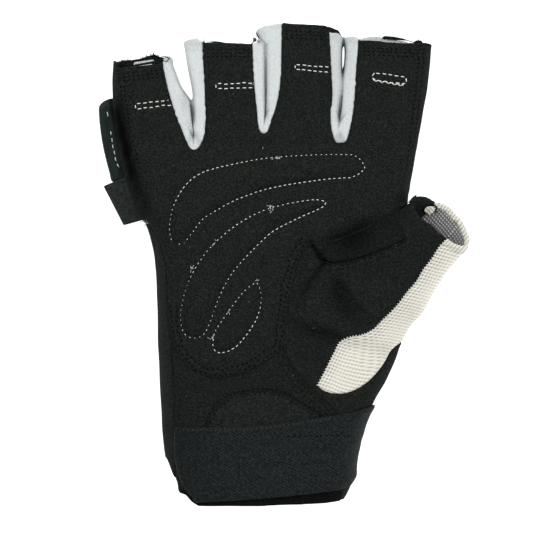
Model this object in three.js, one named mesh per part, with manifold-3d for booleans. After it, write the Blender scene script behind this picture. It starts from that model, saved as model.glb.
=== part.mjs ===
// A fingerless weightlifting glove for the right hand, lying on its back with the palm up.
// Units are millimetres. +X runs from the little finger's side to the thumb's side,
// +Y from the wrist to the fingertips, +Z from the back of the hand to the palm.
//
// The glove is one hollow body: a hand, four short finger tubes and a thumb tube, each lofted
// through a short table of cross-sections. The wall between the outer and the inner body is then
// cut along the seams into the sewn panels. The padded cells, the elastic cuff, the pull strap
// and the size tab are added to it.
import * as THREE from "three";
import { mergeVertices } from "three/addons/utils/BufferGeometryUtils.js";
import Module from "manifold-3d";

const wasm = await Module();
wasm.setup();

// ---------------------------------------------------------------- driving sizes
const WALL = 1.7; // thickness of the sewn cloth with its lining
const SEAM_GAP = 0.36; // clear width left along every seam
const PAD_RISE = [0.5, 1.0]; // how far the padded cells stand above the palm, at their edge and inside it
const PAD_EDGE = 1.3; // width of the lower step round each cell
const BAND_GAP = 0.35; // between the wrist wall and the elastic band
const BAND = 1.3; // thickness of the elastic band
const SIDE_SEAM_Z = 9.0; // height of the seam between palm and back along the hand's sides
const REACH = 60; // how far the seam cutters run past the glove

const DARK = { color: 0x1c1d1d, roughness: 0.95, metalness: 0 };
const PALE = { color: 0xd9dde0, roughness: 0.85, metalness: 0 };
const KNIT = { color: 0xd8d2c4, roughness: 0.9, metalness: 0 };
const ELASTIC = { color: 0x1d2225, roughness: 0.85, metalness: 0 };
const HIDE = { color: 0x17191a, roughness: 0.45, metalness: 0 };
const LABEL = { color: 0x1a1c1e, roughness: 0.6, metalness: 0 };

// ---------------------------------------------------------------- section tables
// The hand: y along it, left and right edge, underside, top, and how far the side's round reaches in.
const HAND = [
  { y: -81.9, left: -31.0, right: 18.8, under: 1.9, top: 20.6, round: 7.0 },
  { y: -75.1, left: -36.2, right: 22.4, under: 1.9, top: 21.4, round: 7.0 },
  { y: -65.3, left: -39.4, right: 24.3, under: 1.9, top: 22.0, round: 7.0 },
  { y: -54.7, left: -40.4, right: 27.2, under: 1.9, top: 22.4, round: 7.0 },
  { y: -46.4, left: -40.9, right: 31.0, under: 1.8, top: 22.6, round: 7.0 },
  { y: -39.8, left: -41.4, right: 34.8, under: 0.0, top: 22.8, round: 7.0 },
  { y: -27.2, left: -41.9, right: 39.4, under: 0.0, top: 22.8, round: 7.5 },
  { y: -12.6, left: -42.2, right: 40.4, under: 0.0, top: 22.0, round: 7.0 },
  { y: 0.4, left: -42.9, right: 40.8, under: 0.0, top: 21.0, round: 6.5 },
  { y: 10.5, left: -45.0, right: 41.5, under: 0.0, top: 20.2, round: 6.0 },
  { y: 19.7, left: -49.4, right: 42.3, under: 0.0, top: 19.4, round: 5.5 },
  { y: 29.6, left: -52.9, right: 43.8, under: 0.0, top: 18.6, round: 5.2 },
  { y: 34.6, left: -54.1, right: 44.6, under: 0.0, top: 18.1, round: 5.0 },
  { y: 38.2, left: -54.5, right: 44.8, under: 0.2, top: 17.3, round: 5.0 },
  { y: 40.4, left: -54.3, right: 44.6, under: 1.8, top: 15.2, round: 5.0 },
];

// The fingers: the same columns, and two for the rim: lean, by which the back stands further out than
// the palm, and skew, by which the thumb's side stands further out than the little finger's.
const FINGERS = {
  little: [
    { y: 30.0, left: -51.8, right: -29.2, under: 0.5, top: 17.4, round: 5.0, lean: 0, skew: 0 },
    { y: 36.4, left: -54.9, right: -29.6, under: 0.0, top: 18.0, round: 5.0, lean: 0, skew: 0 },
    { y: 42.4, left: -56.3, right: -30.0, under: 0.0, top: 17.4, round: 4.8, lean: 0, skew: 0 },
    { y: 49.3, left: -57.3, right: -30.9, under: 0.2, top: 16.8, round: 4.6, lean: 0.3, skew: 0 },
    { y: 55.1, left: -57.8, right: -31.5, under: 0.8, top: 16.4, round: 4.4, lean: 0.8, skew: 0.4 },
    { y: 60.6, left: -58.0, right: -34.6, under: 1.8, top: 16.4, round: 4.2, lean: 1.8, skew: 1.2 },
    { y: 67.8, left: -57.6, right: -37.4, under: 3.2, top: 16.8, round: 4.0, lean: 3.2, skew: 2.0 },
  ],
  ring: [
    { y: 30.0, left: -31.8, right: -4.8, under: 0.5, top: 17.6, round: 5.0, lean: 0, skew: 0 },
    { y: 36.4, left: -31.2, right: -4.9, under: 0.0, top: 18.4, round: 5.0, lean: 0, skew: 0 },
    { y: 42.4, left: -30.4, right: -4.2, under: 0.0, top: 17.8, round: 4.8, lean: 0, skew: 0 },
    { y: 49.3, left: -29.8, right: -5.9, under: 0.0, top: 17.2, round: 4.6, lean: 0, skew: 0 },
    { y: 57.1, left: -30.6, right: -6.2, under: 0.2, top: 16.8, round: 4.6, lean: 0.2, skew: 0 },
    { y: 66.0, left: -32.2, right: -6.2, under: 0.6, top: 16.2, round: 4.4, lean: 0.4, skew: 0 },
    { y: 75.0, left: -33.8, right: -6.4, under: 1.2, top: 15.8, round: 4.2, lean: 0.8, skew: 0.2 },
  ],
  middle: [
    { y: 30.0, left: -7.4, right: 21.4, under: 0.5, top: 17.8, round: 5.0, lean: 0, skew: 0 },
    { y: 36.4, left: -7.0, right: 21.2, under: 0.0, top: 18.6, round: 5.0, lean: 0, skew: 0 },
    { y: 42.4, left: -7.0, right: 20.2, under: 0.0, top: 18.0, round: 4.8, lean: 0, skew: 0 },
    { y: 49.3, left: -5.2, right: 18.8, under: 0.0, top: 17.4, round: 4.6, lean: 0, skew: 0 },
    { y: 61.2, left: -5.1, right: 20.0, under: 0.4, top: 16.8, round: 4.5, lean: 0.2, skew: 0 },
    { y: 73.6, left: -5.2, right: 20.3, under: 1.0, top: 16.4, round: 4.3, lean: 0.3, skew: -0.6 },
    { y: 81.0, left: -8.4, right: 19.6, under: 1.6, top: 16.4, round: 4.2, lean: 0.2, skew: -1.6 },
  ],
  index: [
    { y: 30.0, left: 17.0, right: 42.6, under: 0.5, top: 17.6, round: 5.0, lean: 0, skew: 0 },
    { y: 36.4, left: 17.6, right: 45.2, under: 0.0, top: 18.4, round: 5.0, lean: 0, skew: 0 },
    { y: 42.4, left: 18.7, right: 46.3, under: 0.0, top: 17.8, round: 4.8, lean: 0, skew: 0 },
    { y: 49.3, left: 19.8, right: 47.6, under: 0.0, top: 17.2, round: 4.6, lean: 0, skew: 0 },
    { y: 56.9, left: 20.5, right: 48.9, under: 0.3, top: 16.8, round: 4.6, lean: 0.5, skew: 0 },
    { y: 65.4, left: 21.1, right: 50.0, under: 0.9, top: 16.4, round: 4.4, lean: 1.2, skew: -0.6 },
    { y: 75.7, left: 21.6, right: 51.0, under: 1.8, top: 16.6, round: 4.2, lean: 2.6, skew: -1.2 },
  ],
};

// The thumb: the middle of each section, its width and height, and where its axis points.
const THUMB = [
  { x: 15.4, y: -24.0, z: 11.4, width: 27.0, height: 17.0, heading: 46, rise: 3 },
  { x: 24.6, y: -15.4, z: 12.0, width: 35.0, height: 21.0, heading: 45, rise: 7 },
  { x: 34.2, y: -5.6, z: 14.2, width: 35.4, height: 20.6, heading: 44, rise: 14 },
  { x: 42.2, y: 2.0, z: 17.0, width: 29.6, height: 18.6, heading: 43, rise: 20 },
  { x: 48.3, y: 7.9, z: 19.8, width: 26.0, height: 17.0, heading: 43, rise: 25 },
  { x: 54.1, y: 14.4, z: 23.0, width: 24.6, height: 16.4, heading: 43, rise: 28 },
];

// Folds and dents pressed into the palm side: place, direction, half length, half width and depth.
const FOLDS = [
  { x: 24.0, y: 10.6, angle: 24, length: 17, width: 4.6, depth: 2.4 }, // where the palm folds down to the web
  { x: 21.0, y: -11.0, angle: 58, length: 15, width: 5.5, depth: 1.1 }, // across the ball of the thumb
  { x: 34.0, y: -12.0, angle: 20, length: 11, width: 5.0, depth: 1.0 }, // below the thumb's knuckle
  { x: -6.0, y: -41.5, angle: 4, length: 26, width: 6.0, depth: 0.8 }, // above the heel patch
  { x: -28.0, y: 2.0, angle: 62, length: 20, width: 6.0, depth: 0.7 }, // along the little finger's side
];

// The wedge between two fingers that a pale gusset fills: seam to palm on each side, and the seam's tip.
// Below GUSSET_Z the back's own dark cloth runs down between the fingers.
const GUSSET_Z = 7.6;
const GUSSETS = {
  gusset_little_ring: {
    tip: { x: -29.8, y: 37.8 },
    rows: [
      { y: 41.0, left: -32.2, right: -27.5 },
      { y: 45.5, left: -34.4, right: -26.2 },
      { y: 50.5, left: -36.6, right: -26.0 },
      { y: 56.5, left: -38.6, right: -26.2 },
      { y: 62.5, left: -40.0, right: -26.5 },
      { y: 90.0, left: -42.6, right: -27.0 },
    ],
  },
  gusset_ring_middle: {
    tip: { x: -6.5, y: 44.0 },
    rows: [
      { y: 45.9, left: -7.7, right: -5.0 },
      { y: 48.8, left: -8.4, right: -3.6 },
      { y: 54.0, left: -9.0, right: -1.9 },
      { y: 60.0, left: -9.6, right: -0.8 },
      { y: 68.0, left: -10.2, right: -0.3 },
      { y: 92.0, left: -11.0, right: 0.2 },
    ],
  },
  gusset_middle_index: {
    tip: { x: 18.9, y: 40.6 },
    rows: [
      { y: 42.6, left: 17.4, right: 21.0 },
      { y: 46.9, left: 16.4, right: 23.2 },
      { y: 51.3, left: 16.3, right: 24.1 },
      { y: 57.0, left: 16.8, right: 24.7 },
      { y: 66.0, left: 16.5, right: 25.2 },
      { y: 92.0, left: 15.4, right: 27.2 },
    ],
  },
};

// Padded cells in the palm: a bent centre line and its half width.
const PADS = {
  knuckle: [
    { x: -35.2, y: 9.2, half: 2.0 },
    { x: -31.6, y: 17.6, half: 5.2 },
    { x: -25.6, y: 23.4, half: 6.2 },
    { x: -16.0, y: 27.8, half: 5.8 },
    { x: -4.2, y: 30.6, half: 5.0 },
    { x: 8.0, y: 32.2, half: 4.4 },
    { x: 17.4, y: 32.8, half: 4.0 },
    { x: 24.6, y: 32.6, half: 3.6 },
  ],
  middle: [
    { x: -30.4, y: -22.0, half: 3.8 },
    { x: -29.6, y: -17.4, half: 5.2 },
    { x: -27.2, y: -10.0, half: 5.8 },
    { x: -22.4, y: -1.2, half: 5.6 },
    { x: -14.6, y: 7.0, half: 5.2 },
    { x: -5.0, y: 14.0, half: 3.9 },
    { x: 5.0, y: 17.8, half: 2.7 },
    { x: 12.6, y: 19.8, half: 1.2 },
  ],
  leaf: [
    { x: -21.4, y: -28.0, half: 2.2 },
    { x: -19.0, y: -25.4, half: 4.1 },
    { x: -14.2, y: -18.8, half: 4.7 },
    { x: -11.6, y: -13.0, half: 3.7 },
    { x: -9.4, y: -8.0, half: 1.1 },
  ],
};

// Seams, each a short run of points from one end to the other.
const PALM_HEM = [ // lower edge of the upper palm, from the little finger's side to the thumb
  { x: -38.6, y: -20 }, { x: -36.6, y: -29 }, { x: -32.0, y: -35.4 }, { x: -26.4, y: -38.4 },
  { x: -20.6, y: -39.0 }, { x: -14.0, y: -37.6 }, { x: -7.0, y: -34.8 }, { x: 0.2, y: -29.4 },
];
const THUMB_SEAM = [ // between the palm and the thumb's panel, from the web to the hem's end
  { x: 9.4, y: 6.8 }, { x: 5.6, y: 0.6 }, { x: 2.9, y: -9.0 }, { x: 1.2, y: -19.0 }, { x: 0.2, y: -29.4 },
];
const BALL_SEAM = [ // below the ball of the thumb, from the hem's end to the cuff
  { x: 0.2, y: -29.4 }, { x: 4.4, y: -36.6 }, { x: 10.2, y: -43.4 }, { x: 17.0, y: -50.4 },
];
const WEB_FOLD = [ // upper edge of the web patch, from the palm to the side of the hand
  { x: 9.4, y: 6.8 }, { x: 14.6, y: 6.9 }, { x: 23.0, y: 9.6 }, { x: 33.2, y: 14.0 }, { x: 38.8, y: 17.2 }, { x: 42.6, y: 20.4 },
];
const WEB_SEAM = [ // lower edge of the web patch
  { x: 9.4, y: 6.8 }, { x: 13.4, y: 0.6 }, { x: 19.4, y: 0.3 }, { x: 26.4, y: 1.7 }, { x: 34.2, y: 4.6 }, { x: 41.4, y: 7.8 },
];
const KNIT_SEAM = [ // between the thumb's dark panel and its pale knit back, from the rim to the wrist
  { x: 62.0, y: 15.6 }, { x: 55.9, y: 8.5 }, { x: 50.4, y: 1.4 }, { x: 45.4, y: -6.1 }, { x: 38.6, y: -14.6 },
  { x: 30.0, y: -23.1 }, { x: 23.0, y: -25.0 }, { x: 19.5, y: -26.7 }, { x: 14.4, y: -36.5 }, { x: 11.8, y: -41.4 },
];
const KNIT_HEM = [ // lower edge of the knit back, from the wrist round to the side
  { x: 11.8, y: -41.4 }, { x: 14.4, y: -43.2 }, { x: 18.4, y: -43.9 }, { x: 24.6, y: -41.6 },
  { x: 30.1, y: -37.7 }, { x: 34.2, y: -33.2 }, { x: 36.9, y: -29.3 }, { x: 46.0, y: -24.0 },
];
const KNIT_BACK = [ // the same seam on the hand's back, from the thumb's rim to the side of the wrist
  { x: 53.6, y: 27.0 }, { x: 45.0, y: 16.0 }, { x: 36.0, y: 4.0 }, { x: 31.0, y: -8.0 }, { x: 31.0, y: -20.0 }, { x: 37.2, y: -30.0 }, { x: 46.0, y: -34.0 },
];
const HEEL_PATCH = [ // half-moon set into the heel
  { x: -25.6, y: -56.0 }, { x: -24.6, y: -52.4 }, { x: -21.8, y: -48.6 }, { x: -17.0, y: -45.4 }, { x: -11.4, y: -43.9 },
  { x: -5.0, y: -43.6 }, { x: 1.0, y: -45.0 }, { x: 6.4, y: -48.4 }, { x: 11.0, y: -51.6 }, { x: 12.0, y: -56.0 },
];
const CUFF_TOP = [ // upper edge of the elastic band
  { x: -36.6, y: -55.5 }, { x: -24.0, y: -55.5 }, { x: -12.5, y: -55.4 }, { x: 3.7, y: -53.6 }, { x: 14.6, y: -51.9 }, { x: 22.8, y: -50.8 }, { x: 30.4, y: -48.5 }, { x: 50, y: -44.0 },
];
const CUFF_FOOT = [ // lower edge of the elastic band
  { x: -36.9, y: -62.0 }, { x: -36.4, y: -67.6 }, { x: -34.6, y: -74.6 }, { x: -32.4, y: -78.6 }, { x: -29.0, y: -81.4 }, { x: -12.5, y: -80.5 }, { x: 9.2, y: -78.5 }, { x: 20.0, y: -76.7 }, { x: 24.2, y: -71.4 }, { x: 50, y: -60.0 },
];
// The pull strap on the little finger's side and the size tab below it.
const PULL_STRAP = { low: 4.2, high: 6.9, edge: [
  { x: -62.9, y: 52.8 }, { x: -62.2, y: 55.2 }, { x: -60.4, y: 56.6 }, { x: -57.6, y: 56.9 }, { x: -50.0, y: 56.4 }, { x: -46.0, y: 31.0 },
  { x: -55.0, y: 29.8 }, { x: -58.6, y: 29.6 }, { x: -60.6, y: 36.0 }, { x: -61.8, y: 43.6 },
] };
const SIZE_TAB = { low: 7.4, high: 8.5, edge: [
  { x: -60.9, y: 26.2 }, { x: -52.4, y: 30.4 }, { x: -44.0, y: 29.0 }, { x: -42.0, y: 16.0 }, { x: -46.8, y: 15.0 }, { x: -54.0, y: 12.8 },
] };

// ---------------------------------------------------------------- small tools
const lerp = (a, b, t) => a + (b - a) * t;
const rad = THREE.MathUtils.degToRad;

// Rows of a table at evenly spread stations, smoothly between the given ones.
function stations(rows, count) {
  const keys = Object.keys(rows[0]), out = [];
  for (let i = 0; i <= count; i++) {
    const f = (i / count) * (rows.length - 1), k = Math.min(Math.floor(f), rows.length - 2), t = f - k;
    const at = (n) => rows[Math.max(0, Math.min(rows.length - 1, n))];
    const row = {};
    for (const key of keys) {
      const [p0, p1, p2, p3] = [at(k - 1)[key], at(k)[key], at(k + 1)[key], at(k + 2)[key]];
      const smooth = 0.5 * (2 * p1 + (p2 - p0) * t + (2 * p0 - 5 * p1 + 4 * p2 - p3) * t * t + (3 * p1 - p0 - 3 * p2 + p3) * t * t * t);
      row[key] = Math.min(Math.max(smooth, Math.min(p1, p2)), Math.max(p1, p2)); // never beyond its two neighbours
    }
    out.push(row);
  }
  return out;
}

function solid(geometry) {
  const g = geometry.clone();
  g.deleteAttribute("normal");
  g.deleteAttribute("uv");
  const merged = mergeVertices(g, 1e-4);
  return new wasm.Manifold(new wasm.Mesh({
    numProp: 3,
    vertProperties: new Float32Array(merged.attributes.position.array),
    triVerts: new Uint32Array(merged.index.array),
  }));
}

// A closed solid through rings of points, with a fan over each end.
function loft(rings) {
  const n = rings[0].length, pos = [], idx = [];
  for (const ring of rings) for (const p of ring) pos.push(p.x, p.y, p.z);
  for (let r = 0; r + 1 < rings.length; r++)
    for (let i = 0; i < n; i++) {
      const a = r * n + i, b = r * n + ((i + 1) % n), c = a + n, d = b + n;
      idx.push(a, b, d, a, d, c);
    }
  for (const [r, flip] of [[0, true], [rings.length - 1, false]]) {
    const mid = rings[r].reduce((s, p) => s.add(p), new THREE.Vector3()).divideScalar(n);
    const m = pos.length / 3;
    pos.push(mid.x, mid.y, mid.z);
    for (let i = 0; i < n; i++) {
      const a = r * n + i, b = r * n + ((i + 1) % n);
      if (flip) idx.push(m, b, a);
      else idx.push(m, a, b);
    }
  }
  const g = new THREE.BufferGeometry();
  g.setAttribute("position", new THREE.Float32BufferAttribute(pos, 3));
  g.setIndex(idx);
  const made = solid(g);
  if (made.volume() > 0) return made;
  for (let i = 0; i < idx.length; i += 3) [idx[i + 1], idx[i + 2]] = [idx[i + 2], idx[i + 1]];
  g.setIndex(idx);
  return solid(g);
}

// A straight prism over an outline, from one height to another.
function prism(outline, low, high) {
  const shape = new THREE.Shape(outline.map((p) => new THREE.Vector2(p.x, p.y)));
  return solid(new THREE.ExtrudeGeometry(shape, { depth: high - low, bevelEnabled: false }).translate(0, 0, low));
}

// The outline moved outwards by a distance, or inwards where it is negative.
function grown(outline, by) {
  const n = outline.length;
  let area = 0;
  outline.forEach((p, i) => { const q = outline[(i + 1) % n]; area += p.x * q.y - q.x * p.y; });
  const side = area > 0 ? 1 : -1;
  return outline.map((p, i) => {
    const a = outline[(i + n - 1) % n], b = outline[(i + 1) % n];
    const u = new THREE.Vector2(p.x - a.x, p.y - a.y).normalize(), v = new THREE.Vector2(b.x - p.x, b.y - p.y).normalize();
    const m = new THREE.Vector2((u.y + v.y) * side, -(u.x + v.x) * side);
    const k = by / Math.max(0.35, m.length() / 2);
    m.normalize();
    return { x: p.x + m.x * k, y: p.y + m.y * k };
  });
}

// ---------------------------------------------------------------- cross-sections
const SIDE_STEPS = 5, UNDER_STEPS = 2, HAND_STEPS = 9, FINGER_STEPS = 3;
const HAND_STATIONS = 17, FINGER_STATIONS = 6, THUMB_STATIONS = 6, PAD_STATIONS = 7;

function foldDepth(x, y) {
  let d = 0;
  for (const f of FOLDS) {
    const c = Math.cos(rad(f.angle)), s = Math.sin(rad(f.angle));
    const u = ((x - f.x) * c + (y - f.y) * s) / f.length, v = ((y - f.y) * c - (x - f.x) * s) / f.width;
    d += f.depth * Math.exp(-2 * (u * u + v * v));
  }
  return d;
}

// One ring round the hand or a finger, drawn in by a distance: flat top with a slight crown, elliptic sides, flat underside.
function handRing(row, inset, crown, steps = HAND_STEPS) {
  const left = row.left + inset, right = row.right - inset, top = row.top - inset, under = row.under + inset;
  const round = Math.max(1.2, row.round - inset * 0.75), mid = (top + under) / 2, half = (top - under) / 2;
  const rim = (x, z) => ((row.lean || 0) * (mid - z)) / (2 * half) + ((row.skew || 0) * (x - (row.left + row.right) / 2)) / (row.right - row.left);
  const pts = [];
  const add = (x, z) => pts.push(new THREE.Vector3(x, row.y + rim(x, z), z));
  for (let i = 0; i <= steps; i++) {
    const t = i / steps, x = lerp(left + round, right - round, t);
    add(x, top + crown * 4 * t * (1 - t) - (crown ? foldDepth(x, row.y) * Math.min(1, 6 * t * (1 - t)) : 0));
  }
  for (let i = 1; i < SIDE_STEPS; i++) {
    const a = (Math.PI * i) / SIDE_STEPS;
    add(right - round + round * Math.sin(a), mid + half * Math.cos(a));
  }
  for (let i = 0; i <= UNDER_STEPS; i++) add(lerp(right - round, left + round, i / UNDER_STEPS), under);
  for (let i = 1; i < SIDE_STEPS; i++) {
    const a = (Math.PI * i) / SIDE_STEPS;
    add(left + round - round * Math.sin(a), mid - half * Math.cos(a));
  }
  return pts;
}

function thumbRing(row, inset, count = 18) {
  const h = rad(row.heading), e = rad(row.rise);
  const along = new THREE.Vector3(Math.cos(h) * Math.cos(e), Math.sin(h) * Math.cos(e), Math.sin(e));
  const across = new THREE.Vector3(Math.sin(h), -Math.cos(h), 0), up = new THREE.Vector3().crossVectors(across, along);
  const pts = [];
  for (let i = 0; i < count; i++) {
    const a = (2 * Math.PI * i) / count, c = Math.cos(a), s = Math.sin(a), n = 2 / 2.3;
    const u = (row.width / 2 - inset) * Math.sign(c) * Math.abs(c) ** n, v = (row.height / 2 - inset) * Math.sign(s) * Math.abs(s) ** n;
    const p = new THREE.Vector3(row.x, row.y, row.z).addScaledVector(across, u).addScaledVector(up, v);
    p.z -= foldDepth(p.x, p.y) * Math.max(0, s);
    pts.push(p);
  }
  return pts;
}

// A row carried on past the end of its table, so that a hollow breaks through the rim.
const past = (rows, last, before, by) => {
  const a = rows[last], b = rows[before], out = { ...a };
  const d = Math.hypot(a.y - b.y, (a.x || 0) - (b.x || 0), (a.z || 0) - (b.z || 0));
  for (const k of ["x", "y", "z"]) if (k in a) out[k] = a[k] + ((a[k] - b[k]) / d) * by;
  if ("left" in a) { out.under = a.under + ((a.under - b.under) / d) * by; out.top = a.top + ((a.top - b.top) / d) * by; }
  return out;
};

// The whole glove's body, drawn in by a distance; open says that it breaks through the rims.
function body(inset, open) {
  const crown = 0.7;
  const hand = stations(HAND, HAND_STATIONS);
  if (open) hand.unshift(past(hand, 0, 1, 6));
  let made = loft(hand.map((r) => handRing(r, inset, crown)));
  for (const rows of Object.values(FINGERS)) {
    const st = stations(rows, FINGER_STATIONS);
    if (open) st.push(past(st, st.length - 1, st.length - 2, 6));
    made = made.add(loft(st.map((r) => handRing(r, inset, crown * 0.6, FINGER_STEPS))));
  }
  const th = stations(THUMB, THUMB_STATIONS);
  if (open) th.push(past(th, th.length - 1, th.length - 2, 6));
  return made.add(loft(th.map((r) => thumbRing(r, inset))));
}

// ---------------------------------------------------------------- the seam cutters
// What lies under the seam between palm and back: level along the hand, and rising with the thumb's axis.
const reversed = (list) => [...list].reverse();
function underHalf(shift) {
  const level = prism([{ x: -REACH * 2, y: -REACH * 2 }, { x: REACH * 2, y: -REACH * 2 }, { x: REACH * 2, y: REACH * 2 }, { x: -REACH * 2, y: REACH * 2 }], -REACH, SIDE_SEAM_Z + shift);
  const tip = THUMB[THUMB.length - 1], h = rad(tip.heading);
  const profile = new THREE.Shape([[-44, -REACH], [18, -REACH], [18, tip.z + 6.6 + shift], [0, tip.z - 0.6 + shift], [-28, 11.6 + shift], [-44, SIDE_SEAM_Z + shift]].map((p) => new THREE.Vector2(...p)));
  const wedge = new THREE.ExtrudeGeometry(profile, { depth: 70, bevelEnabled: false }).translate(0, 0, -35);
  wedge.rotateX(Math.PI / 2).rotateZ(h).translate(tip.x, tip.y, 0);
  const zone = prism([{ x: 8, y: -60 }, { x: 80, y: -60 }, { x: 80, y: 52 }, { x: 56, y: 36 }, { x: 42.6, y: 21.2 }, { x: 30, y: 14 }, { x: 8, y: 5 }], -REACH, REACH);
  return level.add(solid(wedge).intersect(zone));
}
const under = underHalf(0), underGrown = underHalf(SEAM_GAP);

const gussetOutline = (g) => [...reversed(g.rows).map((r) => ({ x: r.left, y: r.y })), g.tip, ...g.rows.map((r) => ({ x: r.right, y: r.y }))];
const knitTop = [...KNIT_SEAM, ...KNIT_HEM.slice(1), { x: 80, y: -24 }, { x: 80, y: 40 }, { x: 68, y: 27 }];
const knitUnder = [...KNIT_BACK, { x: 80, y: -34 }, { x: 80, y: 60 }, { x: 66, y: 48 }];
const thumbTop = [...THUMB_SEAM, ...BALL_SEAM.slice(1), { x: 17.0, y: -90 }, { x: 60, y: -90 }, { x: 60, y: -20 }, { x: 80, y: 30 }, { x: 60, y: 44 }, { x: 45.2, y: 24.4 }, { x: 42.6, y: 20.4 }, ...reversed(WEB_FOLD).slice(1, -1)];
const webTop = [...WEB_FOLD.slice(0, -1), { x: 39.4, y: 12.4 }, ...reversed(WEB_SEAM).slice(0, -1)];
const palmTop = [...PALM_HEM, ...reversed(THUMB_SEAM).slice(1), ...WEB_FOLD.slice(1), { x: 80, y: 24 }, { x: 80, y: 100 }, { x: -80, y: 100 }, { x: -80, y: 6 }, { x: -41.0, y: 2 }, { x: -39.4, y: -8 }];
const heelTop = [{ x: -38.2, y: -40 }, { x: -37.6, y: -90 }, { x: 17.0, y: -90 }, ...reversed(BALL_SEAM), ...reversed(PALM_HEM).slice(1)];

// Each panel's cutter as [tight, grown]: the grown one clears the seam for the panels cut after it.
const pair = (outline, low = -REACH, high = REACH) => [prism(outline, low, high), prism(grown(outline, SEAM_GAP), low - SEAM_GAP, high)];
const above = ([tight, wide]) => [tight.subtract(underGrown), wide.subtract(under)];
const below = ([tight, wide]) => [tight.intersect(under), wide.intersect(underGrown)];

const cutters = [];
for (const [name, g] of Object.entries(GUSSETS)) cutters.push([name, pair(gussetOutline(g), GUSSET_Z), PALE]);
{
  // The knit back takes one side of the thumb above the seam and all of it below, joined through the edge between them.
  const [t, tw] = pair(knitTop), [u, uw] = pair(knitUnder);
  cutters.push(["thumb_knit_back", [t.subtract(under).add(u.intersect(underHalf(SEAM_GAP / 3))), tw.subtract(underHalf(-SEAM_GAP)).add(uw.intersect(underGrown))], KNIT]);
}
cutters.push(["thumb_web_patch", above(pair(webTop)), DARK]);
cutters.push(["heel_patch", above(pair(HEEL_PATCH)), DARK]);
cutters.push(["palm_upper", above(pair(palmTop)), DARK]);
cutters.push(["palm_heel", above(pair(heelTop)), DARK]);
cutters.push(["thumb_palm", above(pair(thumbTop)), DARK]);

// ---------------------------------------------------------------- cutting the wall
const outer = body(0, false), hollow = body(WALL, true);
const wall = outer.subtract(hollow);
let rest = wall;
const pieces = [];

// A padded cell's outline: both sides of its centre line, with round ends.
function padOutline(rows, drawn) {
  const st = stations(rows, PAD_STATIONS).map((p) => ({ ...p, half: p.half - drawn })).filter((p) => p.half > 0.4), left = [], right = [];
  st.forEach((p, i) => {
    const a = st[Math.max(0, i - 1)], b = st[Math.min(st.length - 1, i + 1)];
    const d = new THREE.Vector2(b.x - a.x, b.y - a.y).normalize();
    left.push({ x: p.x - d.y * p.half, y: p.y + d.x * p.half });
    right.push({ x: p.x + d.y * p.half, y: p.y - d.x * p.half });
  });
  const cap = (p, from) => [-50, 0, 50].map((a) => ({ x: p.x + Math.cos(from + rad(a)) * p.half, y: p.y + Math.sin(from + rad(a)) * p.half }));
  const dir = (a, b) => Math.atan2(b.y - a.y, b.x - a.x);
  const n = st.length - 1;
  return [...left, ...reversed(cap(st[n], dir(st[n - 1], st[n]))), ...reversed(right), ...reversed(cap(st[0], dir(st[1], st[0])))];
}
const sunk = body(WALL / 2, false);
const raised = PAD_RISE.map((rise) => loft(stations(HAND, HAND_STATIONS).map((r) => handRing(r, -rise, 0.7))).subtract(sunk));
const biggest = (m) => m.decompose().sort((a, b) => b.volume() - a.volume())[0];
const CRUMB = 3; // a cut-off sliver under this volume, in cubic millimetres, is dropped
const FLAT = 0.03; // facets that differ by less than this are merged

for (const [name, [tight, wide], look] of cutters) {
  let made = rest.intersect(tight);
  rest = rest.subtract(wide);
  if (name === "palm_upper")
    for (const rows of Object.values(PADS))
      raised.forEach((layer, k) => { made = made.add(layer.intersect(prism(padOutline(rows, k * PAD_EDGE), SIDE_SEAM_Z + 3, REACH))); });
  pieces.push([name, made, look]);
}
pieces.push(["back_panel", rest, DARK]);

// ---------------------------------------------------------------- cuff, strap and tab
const wristRows = stations(HAND, HAND_STATIONS).filter((r) => r.y < -36);
const below8 = past(wristRows, 0, 1, 4);
const wristLoft = (inset) => loft([below8, ...wristRows].map((r) => handRing(r, inset, 0.7)));
const cuffZone = prism([...CUFF_TOP, ...reversed(CUFF_FOOT)], -REACH, REACH);
const band = wristLoft(-BAND_GAP - BAND).subtract(wristLoft(-BAND_GAP)).intersect(cuffZone);
pieces.push(["cuff_band", band, ELASTIC]);

const clearOfBody = body(-BAND_GAP, false);
for (const [name, s, look] of [["pull_strap", PULL_STRAP, HIDE], ["size_tab", SIZE_TAB, LABEL]])
  pieces.push([name, prism(s.edge, s.low, s.high).subtract(clearOfBody), look]);

// ---------------------------------------------------------------- the assembly
const group = new THREE.Group();
group.name = "weightlifting_glove";
for (const [name, made, look] of pieces) {
  const parts = made.decompose().filter((m) => m.volume() > CRUMB);
  const kept = (parts.length ? biggest(made) : made).simplify(FLAT);
  const m = kept.getMesh();
  const g = new THREE.BufferGeometry();
  const v = new Float32Array(m.numVert * 3);
  for (let i = 0; i < m.numVert; i++) v.set(m.vertProperties.subarray(i * m.numProp, i * m.numProp + 3), i * 3);
  g.setAttribute("position", new THREE.BufferAttribute(v, 3));
  g.setIndex(new THREE.BufferAttribute(new Uint32Array(m.triVerts), 1));
  g.computeVertexNormals();
  const mesh = new THREE.Mesh(g, new THREE.MeshStandardMaterial(look));
  mesh.name = name;
  group.add(mesh);
}

// The frame's origin is the middle of the glove's bounding box, on the surface it lies on.
const box = new THREE.Box3().setFromObject(group), middle = box.getCenter(new THREE.Vector3());
for (const mesh of group.children) mesh.geometry.translate(-middle.x, -middle.y, -box.min.z);

export default group;
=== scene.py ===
# The looks of the fingerless weightlifting glove: sewn panels with thickness, seams, stitches and cloth.
#
# Every panel is worked out on one fine grid from the same section tables as the solids: the outer form
# of the hand, fingers and thumb, the hollow inside it, and the seams that part one panel from the next.
# Lengths in the tables are millimetres in the glove's own drawing frame. Only to_frame() turns them
# into metres in the shared frame.
import math

import bpy
import numpy as np
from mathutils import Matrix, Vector
from mathutils.bvhtree import BVHTree


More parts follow.
